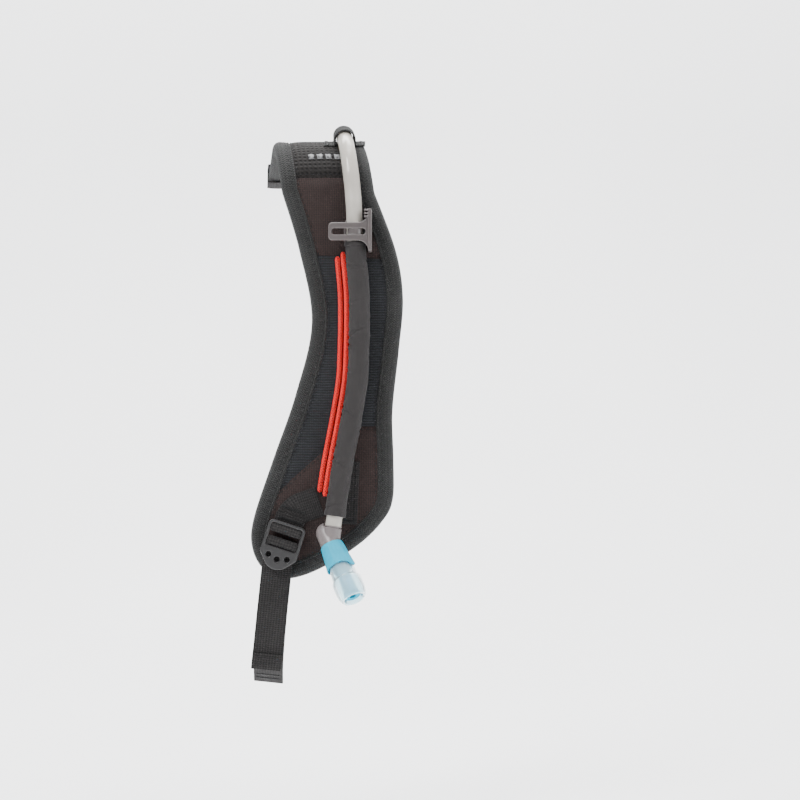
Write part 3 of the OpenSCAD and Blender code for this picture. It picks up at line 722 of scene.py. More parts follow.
def pad_front(x, s):
    """How far in front of the strap's middle the padded cloth really stands."""
    x, s = np.broadcast_arrays(np.asarray(x, float), np.asarray(s, float))
    out = np.full(x.shape, PANEL_FRONT)
    for at in np.ndindex(x.shape):
        hit = SURFACE.ray_cast(Vector((x[at], s[at], 0.05)), Vector((0, 0, -1)))[0]
        if hit is not None:
            out[at] = max(hit.z, PANEL_FRONT - 0.6 * MM)
    return out


def slab_part(name, kinds, material, thickness=None):
    """The slab's faces of some kinds in their real place, as cloth of some thickness."""
    index, verts, faces = {}, [], []
    for poly in slab.data.polygons:
        if poly.material_index in kinds:
            for v in poly.vertices:
                if v not in index:
                    index[v] = len(verts)
                    verts.append(FLAT[v])
            faces.append([index[v] for v in poly.vertices])
    flat = np.array(verts)
    obj = new_object(name, place(*flat.T), faces, [tuple(p[:2]) for p in flat], material)
    if thickness:
        solid = obj.modifiers.new("thick", "SOLIDIFY")
        solid.thickness, solid.offset = thickness, -1
    return shade_smooth(apply_modifiers(obj), 60)


def finish_piece(obj, body, slot, *nodes):
    """Most pieces: ride on a body and stand for CAD nodes. slot is not used."""
    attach(obj, body)
    if nodes:
        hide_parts(*nodes)
    return obj


for kind, (node, material, slot) in enumerate(
    [
        ("top_mesh_panel", AIR_MESH, "air_mesh"),
        ("upper_panel", BROWN, "brown_weave"),
        ("middle_panel", RIBBED, "ribbed_weave"),
        ("lower_panel", BROWN, "brown_weave"),
        ("back_lining", LINING, "lining_mesh"),
    ]
):
    cloth_piece = slab_part(node + "_cloth", [kind], material, 0.5 * MM)
    finish_piece(cloth_piece, "strap", slot, node)

core = slab_part("foam_core", range(5), FOAM)
bpy.data.objects.remove(slab)
shrink = core.modifiers.new("in", "DISPLACE")
shrink.strength, shrink.mid_level = -0.75 * MM, 0
apply_modifiers(core)
finish_piece(core, "strap", "foam", "strap_foam")

# ---- Binding, bead and stitching round the edge ----


def along_edge(distances, depths):
    """Points that follow the outline: a row for each of its points, a column for each distance inside it."""
    d, n = np.array(distances), np.array(depths)
    flat = OUTLINE[:, None, :] + OUTLINE_IN[:, None, :] * d[None, :, None]
    return place(flat[..., 0], flat[..., 1], n[None, :] + np.zeros(flat.shape[:2]))


RUN = np.concatenate([[0], np.cumsum(np.linalg.norm(np.diff(OUTLINE, axis=0), axis=1))])


def border(name, profile_mm, material):
    """Sweeps a closed (distance inside the outline, depth) profile round the strap."""
    d, n = np.array(profile_mm).T * MM
    across = np.concatenate([[0], np.cumsum(np.hypot(np.diff(d), np.diff(n)))])
    uvs = np.stack(np.broadcast_arrays(across[None, :], RUN[:, None]), axis=-1)
    return grid_object(name, along_edge(d, n), uvs, material, wrap=True, caps=True)


BINDING = [
    (9.0, 3.2), (8.5, 4.1), (8.15, 4.62), (7.7, 4.82), (7.2, 4.72), (6.9, 4.5), (6.6, 4.72), (6.0, 4.92),
    (5.0, 5.0),
    (4.0, 4.95), (3.0, 4.75), (2.0, 4.3), (1.1, 3.5), (0.45, 2.3), (0.1, 0.9), (0.05, -0.6), (0.35, -2.2),
    (1.0, -3.6),
    (2.0, -4.6), (3.2, -5.1), (5.0, -5.35), (6.6, -5.2), (6.9, -4.95), (7.3, -5.2), (8.0, -5.2),
    (8.6, -4.6),
    (9.0, -3.8), (6.0, -3.2), (3.2, -2.4), (2.0, 0), (3.2, 2.4), (6.0, 3.0),
]
finish_piece(border("edge_binding_knit", BINDING, KNIT), "strap", "knit_binding", "edge_binding")
BEAD = [
    (8.2, 3.2), (8.35, 4.0), (8.7, 4.55), (9.2, 4.75), (9.7, 4.55), (10.1, 4.1), (10.3, 3.2),
]
finish_piece(border("inner_bead_cord", BEAD, KNIT), "strap", "knit_binding", "inner_bead")


def edge_stitches(name, distance, depth, length=2.6 * MM, gap=1.5 * MM):
    flat = inset(distance)
    n = np.maximum(depth, pad_front(flat[:, 0], flat[:, 1]) if distance > SEWN + 2 * MM else 0)
    row = place(flat[:, 0], flat[:, 1], n)
    normals = place(flat[:, 0], flat[:, 1], n + MM) - row
    return finish_piece(stitches(name, row, normals, length, gap, 0.28 * MM, THREAD), "strap", "thread")


edge_stitches("binding_stitches", 6.9 * MM, 4.55 * MM)
edge_stitches("bead_stitches", 11.2 * MM, 3 * MM, 2.2 * MM, 1.3 * MM)


def pad_path(points, spacing=1.5 * MM, lift=0.0):
    """A route on the padded front, from flat points, with its normals."""
    flat = evenly(points, spacing)
    n = pad_front(flat[:, 0], flat[:, 1]) + lift
    row = place(flat[:, 0], flat[:, 1], n)
    return row, place(flat[:, 0], flat[:, 1], n + MM) - row


def between_edges(seam, shift, margin=10.5 * MM):
    """The part of a seam line that lies inside the binding."""
    fine = evenly(seam, 0.5 * MM) + np.array([0, shift])
    bottom = int(np.argmin(OUTLINE[:, 1]))
    left = np.interp(fine[:, 1], OUTLINE[bottom::-1, 1], OUTLINE[bottom::-1, 0])
    right = np.interp(fine[:, 1], OUTLINE[bottom:, 1], OUTLINE[bottom:, 0])
    inside = (fine[:, 0] > left) & (fine[:, 0] < right) & (edge_distance(fine[:, 0], fine[:, 1]) > margin)
    return fine[inside]


for name, seam, shift in (
    ("upper_seam_stitches", [(-40 * MM, UPPER_SEAM), (40 * MM, UPPER_SEAM)], 1.7 * MM),
    ("middle_seam_stitches", MIDDLE_SEAM, -1.7 * MM),
    ("lower_seam_stitches", LOWER_SEAM, -1.8 * MM),
):
    row, normals = pad_path(between_edges(seam, shift))
    finish_piece(stitches(name, row, normals, 2.4 * MM, 1.4 * MM, 0.26 * MM, THREAD), "strap", "thread")


# ---- Webbing ----


def ribbon(name, path, side, width, thickness, material, radius=0.45):
    """Flat webbing with soft edges along a path. side is its width direction, one or one for each point."""
    path = np.array(path, float)
    side = np.broadcast_to(np.array(side, float), path.shape)
    t = tangents(path)
    side = side - t * np.sum(side * t, axis=1, keepdims=True)
    side = side / np.linalg.norm(side, axis=1, keepdims=True)
    normal = np.cross(side, t)
    half, h = width / 2, thickness / 2
    r = thickness * radius
    across = [-half + r * (1 - math.cos(a)) for a in (0.3, 0.9)] + list(np.linspace(-half + r, half - r, 9))
    across += [half - r * (1 - math.cos(a)) for a in (0.9, 0.3)]
    lift = [h * (0.35 if i in (0, 12) else 0.8 if i in (1, 11) else 1) for i in range(13)]
    ring = list(zip(across, lift)) + [(a, -b) for a, b in zip(across[::-1], lift[::-1])]
    points = np.stack([path + side * a + normal * b for a, b in ring], axis=1)
    run = np.concatenate([[0], np.cumsum(np.linalg.norm(np.diff(path, axis=0), axis=1))])
    uvs = np.stack(np.broadcast_arrays(np.array([a for a, _ in ring])[None, :], run[:, None]), axis=-1)
    obj = grid_object(name, points, uvs, material, wrap=True, caps=True)
    return shade_smooth(obj, 70)


def in_front(points_mm):
    """Points (x, depth, z) of the hanging front, in millimetres, as points in space."""
    p = np.array(points_mm, float)
    return np.stack([p[:, 0], -p[:, 1], p[:, 2]], axis=1) * MM + FRONT


def bartack(name, centre, along, across, length, width, body, turns=13):
    """Dense zigzag stitching: a bar of thread length long."""
    centre, along, across = (np.array(v, float) for v in (centre, along, across))
    along, across = along / np.linalg.norm(along), across / np.linalg.norm(across)
    normal = np.cross(along, across)
    path, n = [], int(turns * 2)
    for i in range(n + 1):
        path.append(centre + along * length * (i / n - 0.5) + across * width * (0.5 if i % 2 else -0.5))
    path = evenly(path, 0.35 * MM)
    obj = tube_object(name, path, 0.3 * MM, 5, THREAD, caps=True, start_up=normal)
    return finish_piece(obj, body, "thread")


strip = evenly([(10.4 * MM, -167 * MM), (8.8 * MM, -206 * MM)], 2 * MM)
strip_depth = np.max(
    [pad_front(strip[:, 0] + d, strip[:, 1]) for d in (-8 * MM, -4 * MM, 0, 4 * MM, 8 * MM)], axis=0
)
strip_mid = place(strip[:, 0], strip[:, 1], strip_depth + 0.45 * MM)
finish_piece(
    ribbon("center_strip", strip_mid, (1, 0, 0), WEB_W, WEB_T, WEBBING), "strap", "webbing",
    "center_webbing"
)
for i, side in enumerate((-1, 1)):
    row = strip_mid + np.array([side * 7.6 * MM, -WEB_T / 2, 0])
    obj = stitches(
        f"center_strip_stitches_{i}", row, np.tile((0, -1.0, 0), (len(row), 1)), 2.4 * MM, 1.4 * MM,
        0.28 * MM, THREAD
    )
    finish_piece(obj, "strap", "thread")
for i, z in enumerate((-168.5, -204.5)):
    at = in_front([(9.6, 6.3, z)])[0]
    bartack(f"center_strip_bartack_{i}", at, (1, 0, 0), (0, 0, 1), 15 * MM, 1.8 * MM, "strap", 17)

# Buckle's own directions, in the front plane
BUCKLE_LEAN, TAIL_LEAN = math.radians(18), math.radians(6)
RIM = np.array([-24.0, -205.4])
DOWN = np.array([-math.sin(BUCKLE_LEAN), -math.cos(BUCKLE_LEAN)])
TAIL_DOWN = np.array([-math.sin(TAIL_LEAN), -math.cos(TAIL_LEAN)])
BAR_DEPTH, BAR_A, BAR_B = 11, 4.6, 12.8
LOOP_R = 1.3 + 0.08 + 0.65


def left_of(v):
    return np.array([-v[1], v[0]])


def arc(centre, r, a0, a1, n=10):
    a = np.radians(np.linspace(a0, a1, n + 1))
    return [np.array(centre) + r * np.array([math.cos(t), math.sin(t)]) for t in a]


def buckle_points(bar, profile):
    """Profile points (distance down past the bar, depth past the bar) as (x, depth, z)."""
    out = []
    for t, depth in profile:
        p = RIM + (bar + t) * DOWN
        out.append((p[0], BAR_DEPTH + depth, p[1]))
    return out


def sideways(v):
    s = left_of(np.array(v, float))
    return (s[0], 0, s[1])


def laid(points_mm, sides, step):
    """A webbing route resampled evenly, with its width directions."""
    both = evenly(np.concatenate([in_front(points_mm), np.array(sides) * 0.001], axis=1), step)
    return both[:, :3], both[:, 3:] * 1000


low = 3.8 + 0.65 - BAR_DEPTH + 0.75
high = low + 1.3 + 0.12
end = RIM - 1.6 * DOWN
centre = end + 13 * left_of(DOWN)
a0 = math.degrees(math.atan2(-left_of(DOWN)[1], -left_of(DOWN)[0]))
turn_arc = arc(centre, 13, a0 - 53, a0, 12)
away = left_of((turn_arc[0] - centre) / 13)
flat_depth = BAR_DEPTH + low
route, sides = [], []
for k in range(7):
    p = turn_arc[0] - 11 * away * (1 - k / 7)
    route.append((p[0], flat_depth, p[1]))
    sides.append(sideways(away))
for p in turn_arc:
    route.append((p[0], flat_depth, p[1]))
    sides.append(sideways(left_of((p - centre) / 13)))
loop = [(-5.2, low), (-3.0, low), (-1.5, low), (0.2, low + 0.5), (1.4, low + 1.6), (LOOP_R - 0.1, -2.4)]
loop += [tuple(p) for p in arc((0, 0), LOOP_R, 0, 220, 14)]
loop += [(-1.0, -2.5), (-0.95, -3.3), (-1.7, -4.3), (-3.0, high + 0.1), (-4.6, high), (-9.5, high)]
for p in buckle_points(BAR_A, smooth_curve(loop, 3)):
    route.append(p)
    sides.append(sideways(DOWN))
path, across = laid(route, sides, 0.7 * MM)
finish_piece(
    ribbon("anchor_strap", path, across, WEB_W, WEB_T, WEBBING), "strap", "webbing", "anchor_webbing"
)
for i, back in enumerate((6.6, 13.4)):
    p = RIM + (BAR_A - back) * DOWN
    at = in_front([(p[0], BAR_DEPTH + (high if i == 0 else low) + 0.75, p[1])])[0]
    obj = bartack(
        f"anchor_bartack_{i}", at, sideways(DOWN), (DOWN[0], 0, DOWN[1]), 15 * MM, 1.8 * MM, "strap", 17
    )
    if i == 0:
        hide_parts("anchor_bartack")

# The adjusting webbing: load leg, over the second bar, hanging tail
load = 5.7 - BAR_DEPTH
tail = load + 1.3 + 0.2
tail_start = RIM + (BAR_B + 6) * DOWN
bend_centre = tail_start + 30 * left_of(DOWN)
b0 = math.degrees(math.atan2(-left_of(DOWN)[1], -left_of(DOWN)[0]))


def hanging(length, depth, wave=0.0):
    """Points and width directions down the hanging webbing."""
    bend = arc(bend_centre, 30, b0, b0 + 12, 4)
    line = bend + [bend[-1] + k * length / 12 * TAIL_DOWN for k in range(1, 13)]
    out = []
    for i, p in enumerate(line):
        share = max(0, i - 4) / 12
        out.append((p[0], depth + wave * math.sin(share * 5.2) * share, p[1]))
    return out, [sideways(DOWN)] * 5 + [sideways(TAIL_DOWN)] * 12


tail_route, tail_sides = hanging(66, BAR_DEPTH + tail, 0.9)
load_route, load_sides = hanging(24, BAR_DEPTH + load)
curl_end = load_route[-1]
for i in range(1, 19):
    a = math.radians(60) * min(i / 12, 1)
    more = 18 * max(0, i - 12) / 6
    run = 55 * math.sin(a) + more * math.cos(a)
    drop = 55 * (1 - math.cos(a)) + more * math.sin(a)
    load_route.append(
        (curl_end[0] + TAIL_DOWN[0] * run, curl_end[1] - drop, curl_end[2] + TAIL_DOWN[1] * run)
    )
    load_sides.append(sideways(TAIL_DOWN))
over_bar = [(4.6, load), (1.5, load), (-0.9, load + 1.1), (-LOOP_R, -1.8)]
over_bar += [tuple(p) for p in arc((0, 0), LOOP_R, 180, 0, 12)]
over_bar += [(LOOP_R + 0.05, -1.6), (3.0, tail + 0.3), (4.8, tail)]
middle = buckle_points(BAR_B, smooth_curve(over_bar, 3))
route = load_route[::-1] + middle + tail_route
sides = load_sides[::-1] + [sideways(DOWN)] * len(middle) + tail_sides
path, across = laid(route, sides, 0.7 * MM)
finish_piece(
    ribbon("adjuster_strap", path, across, WEB_W, WEB_T, WEBBING), "webbing", "webbing", "adjuster_webbing"
)

# Folded end of the tail: over the front and up, stitched down
tip = tail_route[-1]
fold_points = []
for back, out in [
    (0.9, 0.0), (0.3, 0.0), (-0.35, 0.3), (-0.6, 0.75), (-0.35, 1.2), (0.3, 1.45), (1.2, 1.5), (5, 1.45),
    (9, 1.4)
]:
    fold_points.append((tip[0] - TAIL_DOWN[0] * back, tip[1] + out, tip[2] - TAIL_DOWN[1] * back))
path, across = laid(fold_points, [sideways(TAIL_DOWN)] * len(fold_points), 0.4 * MM)
finish_piece(ribbon("tail_hem_fold", path, across, WEB_W, WEB_T, WEBBING), "webbing", "webbing", "tail_hem")
for i, back in enumerate((3.0, 7.2)):
    at = in_front([(tip[0] - TAIL_DOWN[0] * back, tip[1] + 2.1, tip[2] - TAIL_DOWN[1] * back)])[0]
    u = np.array(sideways(TAIL_DOWN))
    row = np.array([at + u * d * MM for d in np.linspace(-8.2, 8.2, 12)])
    obj = stitches(
        f"tail_hem_stitches_{i}", row, np.tile((0, -1.0, 0), (12, 1)), 1.8 * MM, 0.9 * MM, 0.28 * MM, THREAD
    )
    finish_piece(obj, "webbing", "thread")
last, before = np.array(load_route[-1]), np.array(load_route[-4])
run_down = (last - before) / np.linalg.norm(last - before)
for i, back in enumerate((7.0, 13.0)):
    p = last - run_down * back
    along = np.array([run_down[0], -run_down[1], run_down[2]])
    normal = np.cross(np.array(sideways(TAIL_DOWN)), along)
    at = in_front([p])[0] + normal / np.linalg.norm(normal) * (0.75 * MM) * (1 if normal[1] < 0 else -1)
    obj = bartack(f"load_end_bartack_{i}", at, sideways(TAIL_DOWN), along, 15 * MM, 1.8 * MM, "webbing", 17)
    if i == 0:
        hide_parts("load_end_bartack")

# ---- Hose: tube, sleeve and piping, in seven lengths cut between six knees ----
KNEES = np.array([j["pos_m"] for j in frame["joints"] if j["name"].startswith("hose_bend")])
LEAN, PITCH = math.radians(-8.5), math.radians(5)
HOSE_END = np.array([math.sin(LEAN) * math.cos(PITCH), -math.sin(PITCH), -math.cos(LEAN) * math.cos(PITCH)])
HEM = KNEES[-1] + 31 * MM * HOSE_END
CUFF = in_front([(17.05, 13.4, -33.0)])[0]
TUBE_BOTTOM = HEM + 6 * MM * HOSE_END
middles = (KNEES[:-1] + KNEES[1:]) / 2
hose_points = [
    CUFF + (0, 0, 0.012), CUFF,
    *[p for pair in zip(KNEES, [*middles, KNEES[-1] + 13.5 * MM * HOSE_END]) for p in pair], HEM,
    TUBE_BOTTOM
]
HOSE = eased(evenly(smooth_curve(hose_points, 12), 0.75 * MM), 14)
HOSE_RUN = np.concatenate([[0], np.cumsum(np.linalg.norm(np.diff(HOSE, axis=0), axis=1))])


def run_at(point):
    """Distance along the hose of the place nearest to a point."""
    return HOSE_RUN[int(np.argmin(np.linalg.norm(HOSE - np.array(point), axis=1)))]


CUTS = [run_at(CUFF)] + [run_at(p) for p in middles] + [run_at(KNEES[-1] + 13.5 * MM * HOSE_END)]
HOSE_T = tangents(HOSE)
HOSE_BACK = np.cross(np.tile((1.0, 0, 0), (len(HOSE), 1)), HOSE_T)
HOSE_BACK /= np.linalg.norm(HOSE_BACK, axis=1, keepdims=True)
HOSE_LEFT = np.cross(HOSE_T, HOSE_BACK)  # towards -X
HOSE_LEFT *= np.where(HOSE_LEFT[:, :1] > 0, -1, 1)


def hose_layer(name, build, start, stop, nodes):
    """Makes a layer of the hose in seven lengths cut midway between the knees; the last rides on hose_6 and
    the others stay fixed; build makes each length.
    """
    marks = [start, *CUTS[1:], stop]
    at = [int(np.argmin(np.abs(HOSE_RUN - m))) for m in marks]
    for k in range(7):
        obj = build(f"{name}_{k + 1}", at[k], at[k + 1] + 1)
        if k == 6:
            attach(obj, "hose_6")
        else:
            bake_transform(obj)
        if k < 6:
            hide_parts(f"{nodes}_{k + 1}")


SIDES = 48
ANGLE = np.arange(SIDES) * 2 * math.pi / SIDES
# Creases of the sleeve, in mm and degrees:
# distance below the cuff, side of the hose, slant, depth, reach round the hose
CREASES = [
    (9, 200, 2.5, 0.35, 1.2), (13.5, 20, -2.0, 0.3, 1.0), (24, 150, 3.0, 0.3, 1.1), (
        37, 60, 2.5, 0.25, 0.9
    ),
    (50, 180, -3.0, 0.55, 1.3), (55, 30, 3.5, 0.4, 1.1), (61, 120, -2.5, 0.5, 1.2), (
        67, 200, 3.0, 0.35, 1.0
    ),
    (79, 80, -2.5, 0.25, 0.9), (90, 170, 3.5, 0.35, 1.2), (104, 40, -3.0, 0.4, 1.1), (
        109, 160, 2.5, 0.45, 1.3
    ),
    (115, 250, -2.0, 0.3, 1.0), (128, 130, 3.0, 0.3, 1.1), (135, 60, -3.0, 0.4, 1.2), (
        141, 190, 2.0, 0.3, 1.0
    ),
    (154, 110, -2.5, 0.35, 1.1), (163, 30, 2.5, 0.3, 1.0),
]
MAGNET_LINKS = (2, 4)
MAGNET_COVER = 7.12  # distance from the hose's middle to the flat over a magnet


def sleeve_radius(run):
    """Radius of the sleeve for each point round it, at distances below the cuff."""
    v = (run - CUTS[0])[:, None] / MM
    hem = (run_at(HEM) - CUTS[0]) / MM
    r = 6.42 + 0.10 * np.sin(v * 0.21 + 2 * ANGLE) + 0.07 * np.sin(v * 0.47 - 3 * ANGLE + 1.0)
    for at, angle, slant, depth, reach in CREASES:
        away = ANGLE - math.radians(angle)
        away = (away + math.pi) % (2 * math.pi) - math.pi
        line = v - at - slant * np.sin(away)
        fade = np.exp(-((away / reach) ** 2))
        fold = np.exp(-((line / 0.95) ** 2))
        ridge = np.exp(-(((np.abs(line) - 1.9) / 0.9) ** 2))
        r = np.maximum(r + fade * depth * (1.05 * ridge - 2.3 * fold), 5.65)
    # the cloth over the two magnets lies flat at the back of the hose
    from_back = np.minimum(np.abs(ANGLE - math.pi), 1.2)
    for link in MAGNET_LINKS:
        along = v - (run_at(middles[link]) - CUTS[0]) / MM
        away = np.hypot(along, MAGNET_COVER * np.tan(from_back))
        covered = np.clip((6.6 - away) / 2.0, 0, 1)
        r = r + (MAGNET_COVER / np.cos(from_back) - r) * covered
    r = r - 1.0 * np.exp(-((v - 0) / 1.3) ** 2)
    r = r + 0.22 / (1 + np.exp(-(v - hem + 4.6) * 4)) - 0.35 * np.exp(-((v - hem + 4.6) / 0.5) ** 2)
    return r * MM


def hose_rings(i, j, radius):
    """Rings round the hose: angle 0 is its front, and angles grow towards its left."""
    out = -HOSE_BACK[i:j, None, :] * np.cos(ANGLE)[None, :, None] + HOSE_LEFT[i:j, None, :] * np.sin(ANGLE)[
        None, :, None
    ]
    return HOSE[i:j, None, :] + out * np.broadcast_to(radius, (j - i, SIDES))[..., None]


# the back of the hose faces the strap
if HOSE_BACK[10][1] < 0:
    HOSE_BACK *= -1


def hose_uvs(i, j, radius):
    return np.stack(np.broadcast_arrays(ANGLE[None, :] * radius, HOSE_RUN[i:j, None]), axis=-1)


def sleeve_length(name, i, j):
    outer = hose_rings(i, j, sleeve_radius(HOSE_RUN[i:j]))
    return thick_tube(name, outer, hose_rings(i, j, 5.45 * MM), hose_uvs(i, j, 6.5 * MM), SLEEVE)


def thick_tube(name, outer, inner, uvs, material):
    """A tube with a wall: two sets of rings joined at both ends."""
    rows = np.concatenate([outer, inner[::-1], outer[:1]])
    wrapped = np.concatenate([uvs, uvs[::-1], uvs[:1]])
    n, cols = rows.shape[0] - 1, rows.shape[1]
    faces = []
    for a in range(n):
        b = (a + 1) % n
        for c in range(cols):
            d = (c + 1) % cols
            faces.append((a * cols + c, a * cols + d, b * cols + d, b * cols + c))
    obj = new_object(
        name, rows[:-1].reshape(-1, 3), faces, [tuple(u) for u in wrapped[:-1].reshape(-1, 2)], material
    )
    bm = bmesh.new()
    bm.from_mesh(obj.data)
    bmesh.ops.recalc_face_normals(bm, faces=list(bm.faces))
    bm.to_mesh(obj.data)
    bm.free()
    return shade_smooth(obj, 60)


def tube_length(name, i, j):
    return thick_tube(
        name, hose_rings(i, j, TUBE_R), hose_rings(i, j, 3.2 * MM), hose_uvs(i, j, TUBE_R), TUBE
    )


def piping_length(name, i, j):
    turn = math.radians(15)
    out = 8.15 * MM * (HOSE_LEFT[i:j] * math.cos(turn) + HOSE_BACK[i:j] * math.sin(turn))
    path = HOSE[i:j] + out
    radius = np.full(len(path), PIPING_R)
    if name.endswith("_1"):
        radius[:3] *= (0.5, 0.8, 0.95)
    if name.endswith("_7"):
        radius[-3:] *= (0.95, 0.8, 0.5)
    return tube_object(name, path, radius, 20, BRAID, caps=True, v0=HOSE_RUN[i])


TOP = run_at(CUFF) - 1.0 * MM
hose_layer("hose_sleeve", sleeve_length, run_at(CUFF), run_at(HEM), "sleeve_link")
hose_layer("hose_tube", tube_length, TOP, run_at(TUBE_BOTTOM), "tube_link")
hose_layer(
    "hose_piping", piping_length, run_at(CUFF) + 4.2 * MM, run_at(HEM) - 11.6 * MM,
    "piping_link"
)

# Gathered cuff at the top of the sleeve
rows, uvs = [], []
for z, r in [
    (-1.9, 6.0), (-1.4, 6.55), (-0.7, 6.75), (0.1, 6.7), (0.7, 6.45), (1.0, 6.0), (0.9, 5.25), (0, 5.1),
    (-1.2, 5.1), (-1.9, 5.3)
]:
    gather = 1 + (0.02 if r > 5.5 else 0) * np.sin(ANGLE * 16)
    ring = np.stack(
        [np.sin(ANGLE) * r * gather, -np.cos(ANGLE) * r * gather, np.full(SIDES, z)], axis=1
    ) * MM
    rows.append(CUFF + ring)
    uvs.append(np.stack([ANGLE * 6.5 * MM, np.full(SIDES, z * MM)], axis=1))
cuff = grid_object(
    "sleeve_cuff_elastic", np.array(rows + rows[:1]), np.array(uvs + uvs[:1]), SLEEVE, wrap=True
)
finish_piece(cuff, "strap", "sleeve_fabric", "sleeve_cuff")

# Red piping on the strap, beside the docked hose
hose_front = HOSE[:, [0, 2]] - FRONT[[0, 2]]
side_step = hose_front - 11.7 * MM * inward(hose_front)
lowest = KNEES[-1][2] - FRONT[2] - 16.8 * MM
side_step = side_step[(side_step[:, 1] < -40 * MM) & (side_step[:, 1] > lowest)]
row, _ = pad_path(side_step, 1.0 * MM, lift=1.45 * MM)
radius = np.full(len(row), PIPING_R)
radius[[0, -1]], radius[[1, -2]] = PIPING_R * 0.5, PIPING_R * 0.85
finish_piece(
    tube_object("strap_piping", row, radius, 20, BRAID, caps=True), "strap", "red_cord", "dock_piping"
)

# ---- Tube over the shoulder, its keeper and the plug ----
CREST_TUBE = 9.3
TUBE_X = 15.6


def over_shoulder_path(n):
    """The tube's middle over the shoulder; it rises over the sewn cover at the root."""
    s = np.linspace(0, STRAP_END + 2 * MM, n)
    rise = 2.2 * np.clip((s / MM - 80) / 20, 0, 1)
    return place(TUBE_X * MM, s, (CREST_TUBE + rise) * MM)


tube_route = [
    *in_front([(17.1, 13.4, -34.6), (16.9, 13.4, -24), (16.4, 11.8, -11)]), *over_shoulder_path(17)
]
tube_path = evenly(smooth_curve(tube_route, 8), 1 * MM)
tube_run = np.concatenate([[0], np.cumsum(np.linalg.norm(np.diff(tube_path, axis=0), axis=1))])
tube_uv = np.stack(np.broadcast_arrays(np.arange(40) * 0.16 * TUBE_R, tube_run[:, None]), axis=-1)
tube_obj = thick_tube(
    "upper_tube", rings_along(tube_path, TUBE_R, 40), rings_along(tube_path, 3.2 * MM, 40), tube_uv, TUBE
)
finish_piece(tube_obj, "strap", "clear_tube", "shoulder_tube")

s0 = 34 * MM
keeper = []
for x, n in [(-13, 5.2), (-9, 5.2), (-6.8, 5.4), (-6.2, 6.4)] + [
    (6.2 * math.cos(math.radians(a)), CREST_TUBE + 6.2 * math.sin(math.radians(a))) for a in range(
        190, -11, -15
    )
] + [(6.2, 6.4), (6.8, 5.5), (9, 5.35), (13, 5.35)]:
    keeper.append((TUBE_X + x, n))
keeper = smooth_curve(keeper, 3) * MM
loop = evenly(place(keeper[:, 0], s0, keeper[:, 1]), 0.7 * MM)
across = place(0, s0 + 1 * MM, 9.3 * MM) - place(0, s0 - 1 * MM, 9.3 * MM)
finish_piece(
    ribbon("keeper_loop", loop, across, 9 * MM, 1.1 * MM, KNIT), "strap", "knit_binding", "tube_keeper"
)
for i, x in enumerate((TUBE_X - 11, TUBE_X + 11)):
    at = place(x * MM, s0, 5.85 * MM)
    bartack(f"keeper_bartack_{i}", at, across, (1, 0, 0), 8 * MM, 1.8 * MM, "strap")

plug_axis = (tube_path[-1] - tube_path[-3]) / np.linalg.norm(tube_path[-1] - tube_path[-3])
on_plug = frame_matrix(tube_path[-1], plug_axis, (0, 0, 1))
PLUG = [
    (2.0, 24.9), (3.6, 25.0), (4.1, 24.8), (4.4, 24.2), (4.4, 20.9), (4.25, 20.8), (3.2, 20.75),
    (3.2, 19.05), (4.25, 19.0),
    (4.4, 18.9), (4.4, 9.4), (4.25, 9.3), (3.2, 9.25), (3.2, 7.55), (4.25, 7.5), (4.4, 7.4), (4.4, 5.3),
    (4.7, 5.05),
    (5.8, 5.0), (6.2, 4.6), (6.2, 3.4), (5.9, 3.2), (5.9, 2.2), (6.2, 2.0), (6.2, 0.6), (5.8, 0.15),
    (3.1, 0.1),
    (3.1, -11.6), (2.8, -12.0), (2.0, -12.0),
]
plug = spin_object("reservoir_plug", [(r * MM, z * MM) for r, z in PLUG], 40, on_plug, CLIP)
finish_piece(shade_smooth(plug, 35), "strap", "clip_plastic", "quick_plug")

# ---- Sewn cover over the root end ----
edge, first, final = STRAP_W / 2 + 0.6 * MM, STRAP_END - 15.6 * MM, STRAP_END + 0.2 * MM
over = [
    (first - 0.3 * MM, 4.9), (first, 5.5), (first + 3 * MM, 5.55), (final - 1.6 * MM, 5.45),
    (final - 0.4 * MM, 4.7)
]
over += [
    (final, 3.4), (final, -3.8), (final - 0.4 * MM, -5.2), (final - 1.6 * MM, -5.9), (first + 3 * MM, -6),
    (first, -5.95)
]
rim_rows, rim_uvs = [], []
for x in np.linspace(-edge, edge, 31):
    tuck = 1 - 0.10 * (abs(x) / edge) ** 14
    rim_rows.append(place(x, [s for s, _ in over], [n * MM * tuck for _, n in over]))
    rim_uvs.append([(x, s - n * MM) for s, n in over])
cover = grid_object("root_cover_cloth", np.array(rim_rows), np.array(rim_uvs), WEBBING, flip=True)
solid = cover.modifiers.new("thick", "SOLIDIFY")
solid.thickness, solid.offset = 0.9 * MM, 1
finish_piece(shade_smooth(apply_modifiers(cover), 60), "strap", "webbing", "root_cover")
tangent = place(0, STRAP_END, 5.9 * MM) - place(0, STRAP_END - 2 * MM, 5.9 * MM)
for i, x in enumerate((-20, 0, 20)):
    at = place(x * MM, STRAP_END - 7.8 * MM, 6.1 * MM)
    obj = bartack(f"root_bartack_{i}", at, (1, 0, 0), tangent, 10 * MM, 2 * MM, "strap")
    if i == 0:
        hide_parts("root_bartacks")

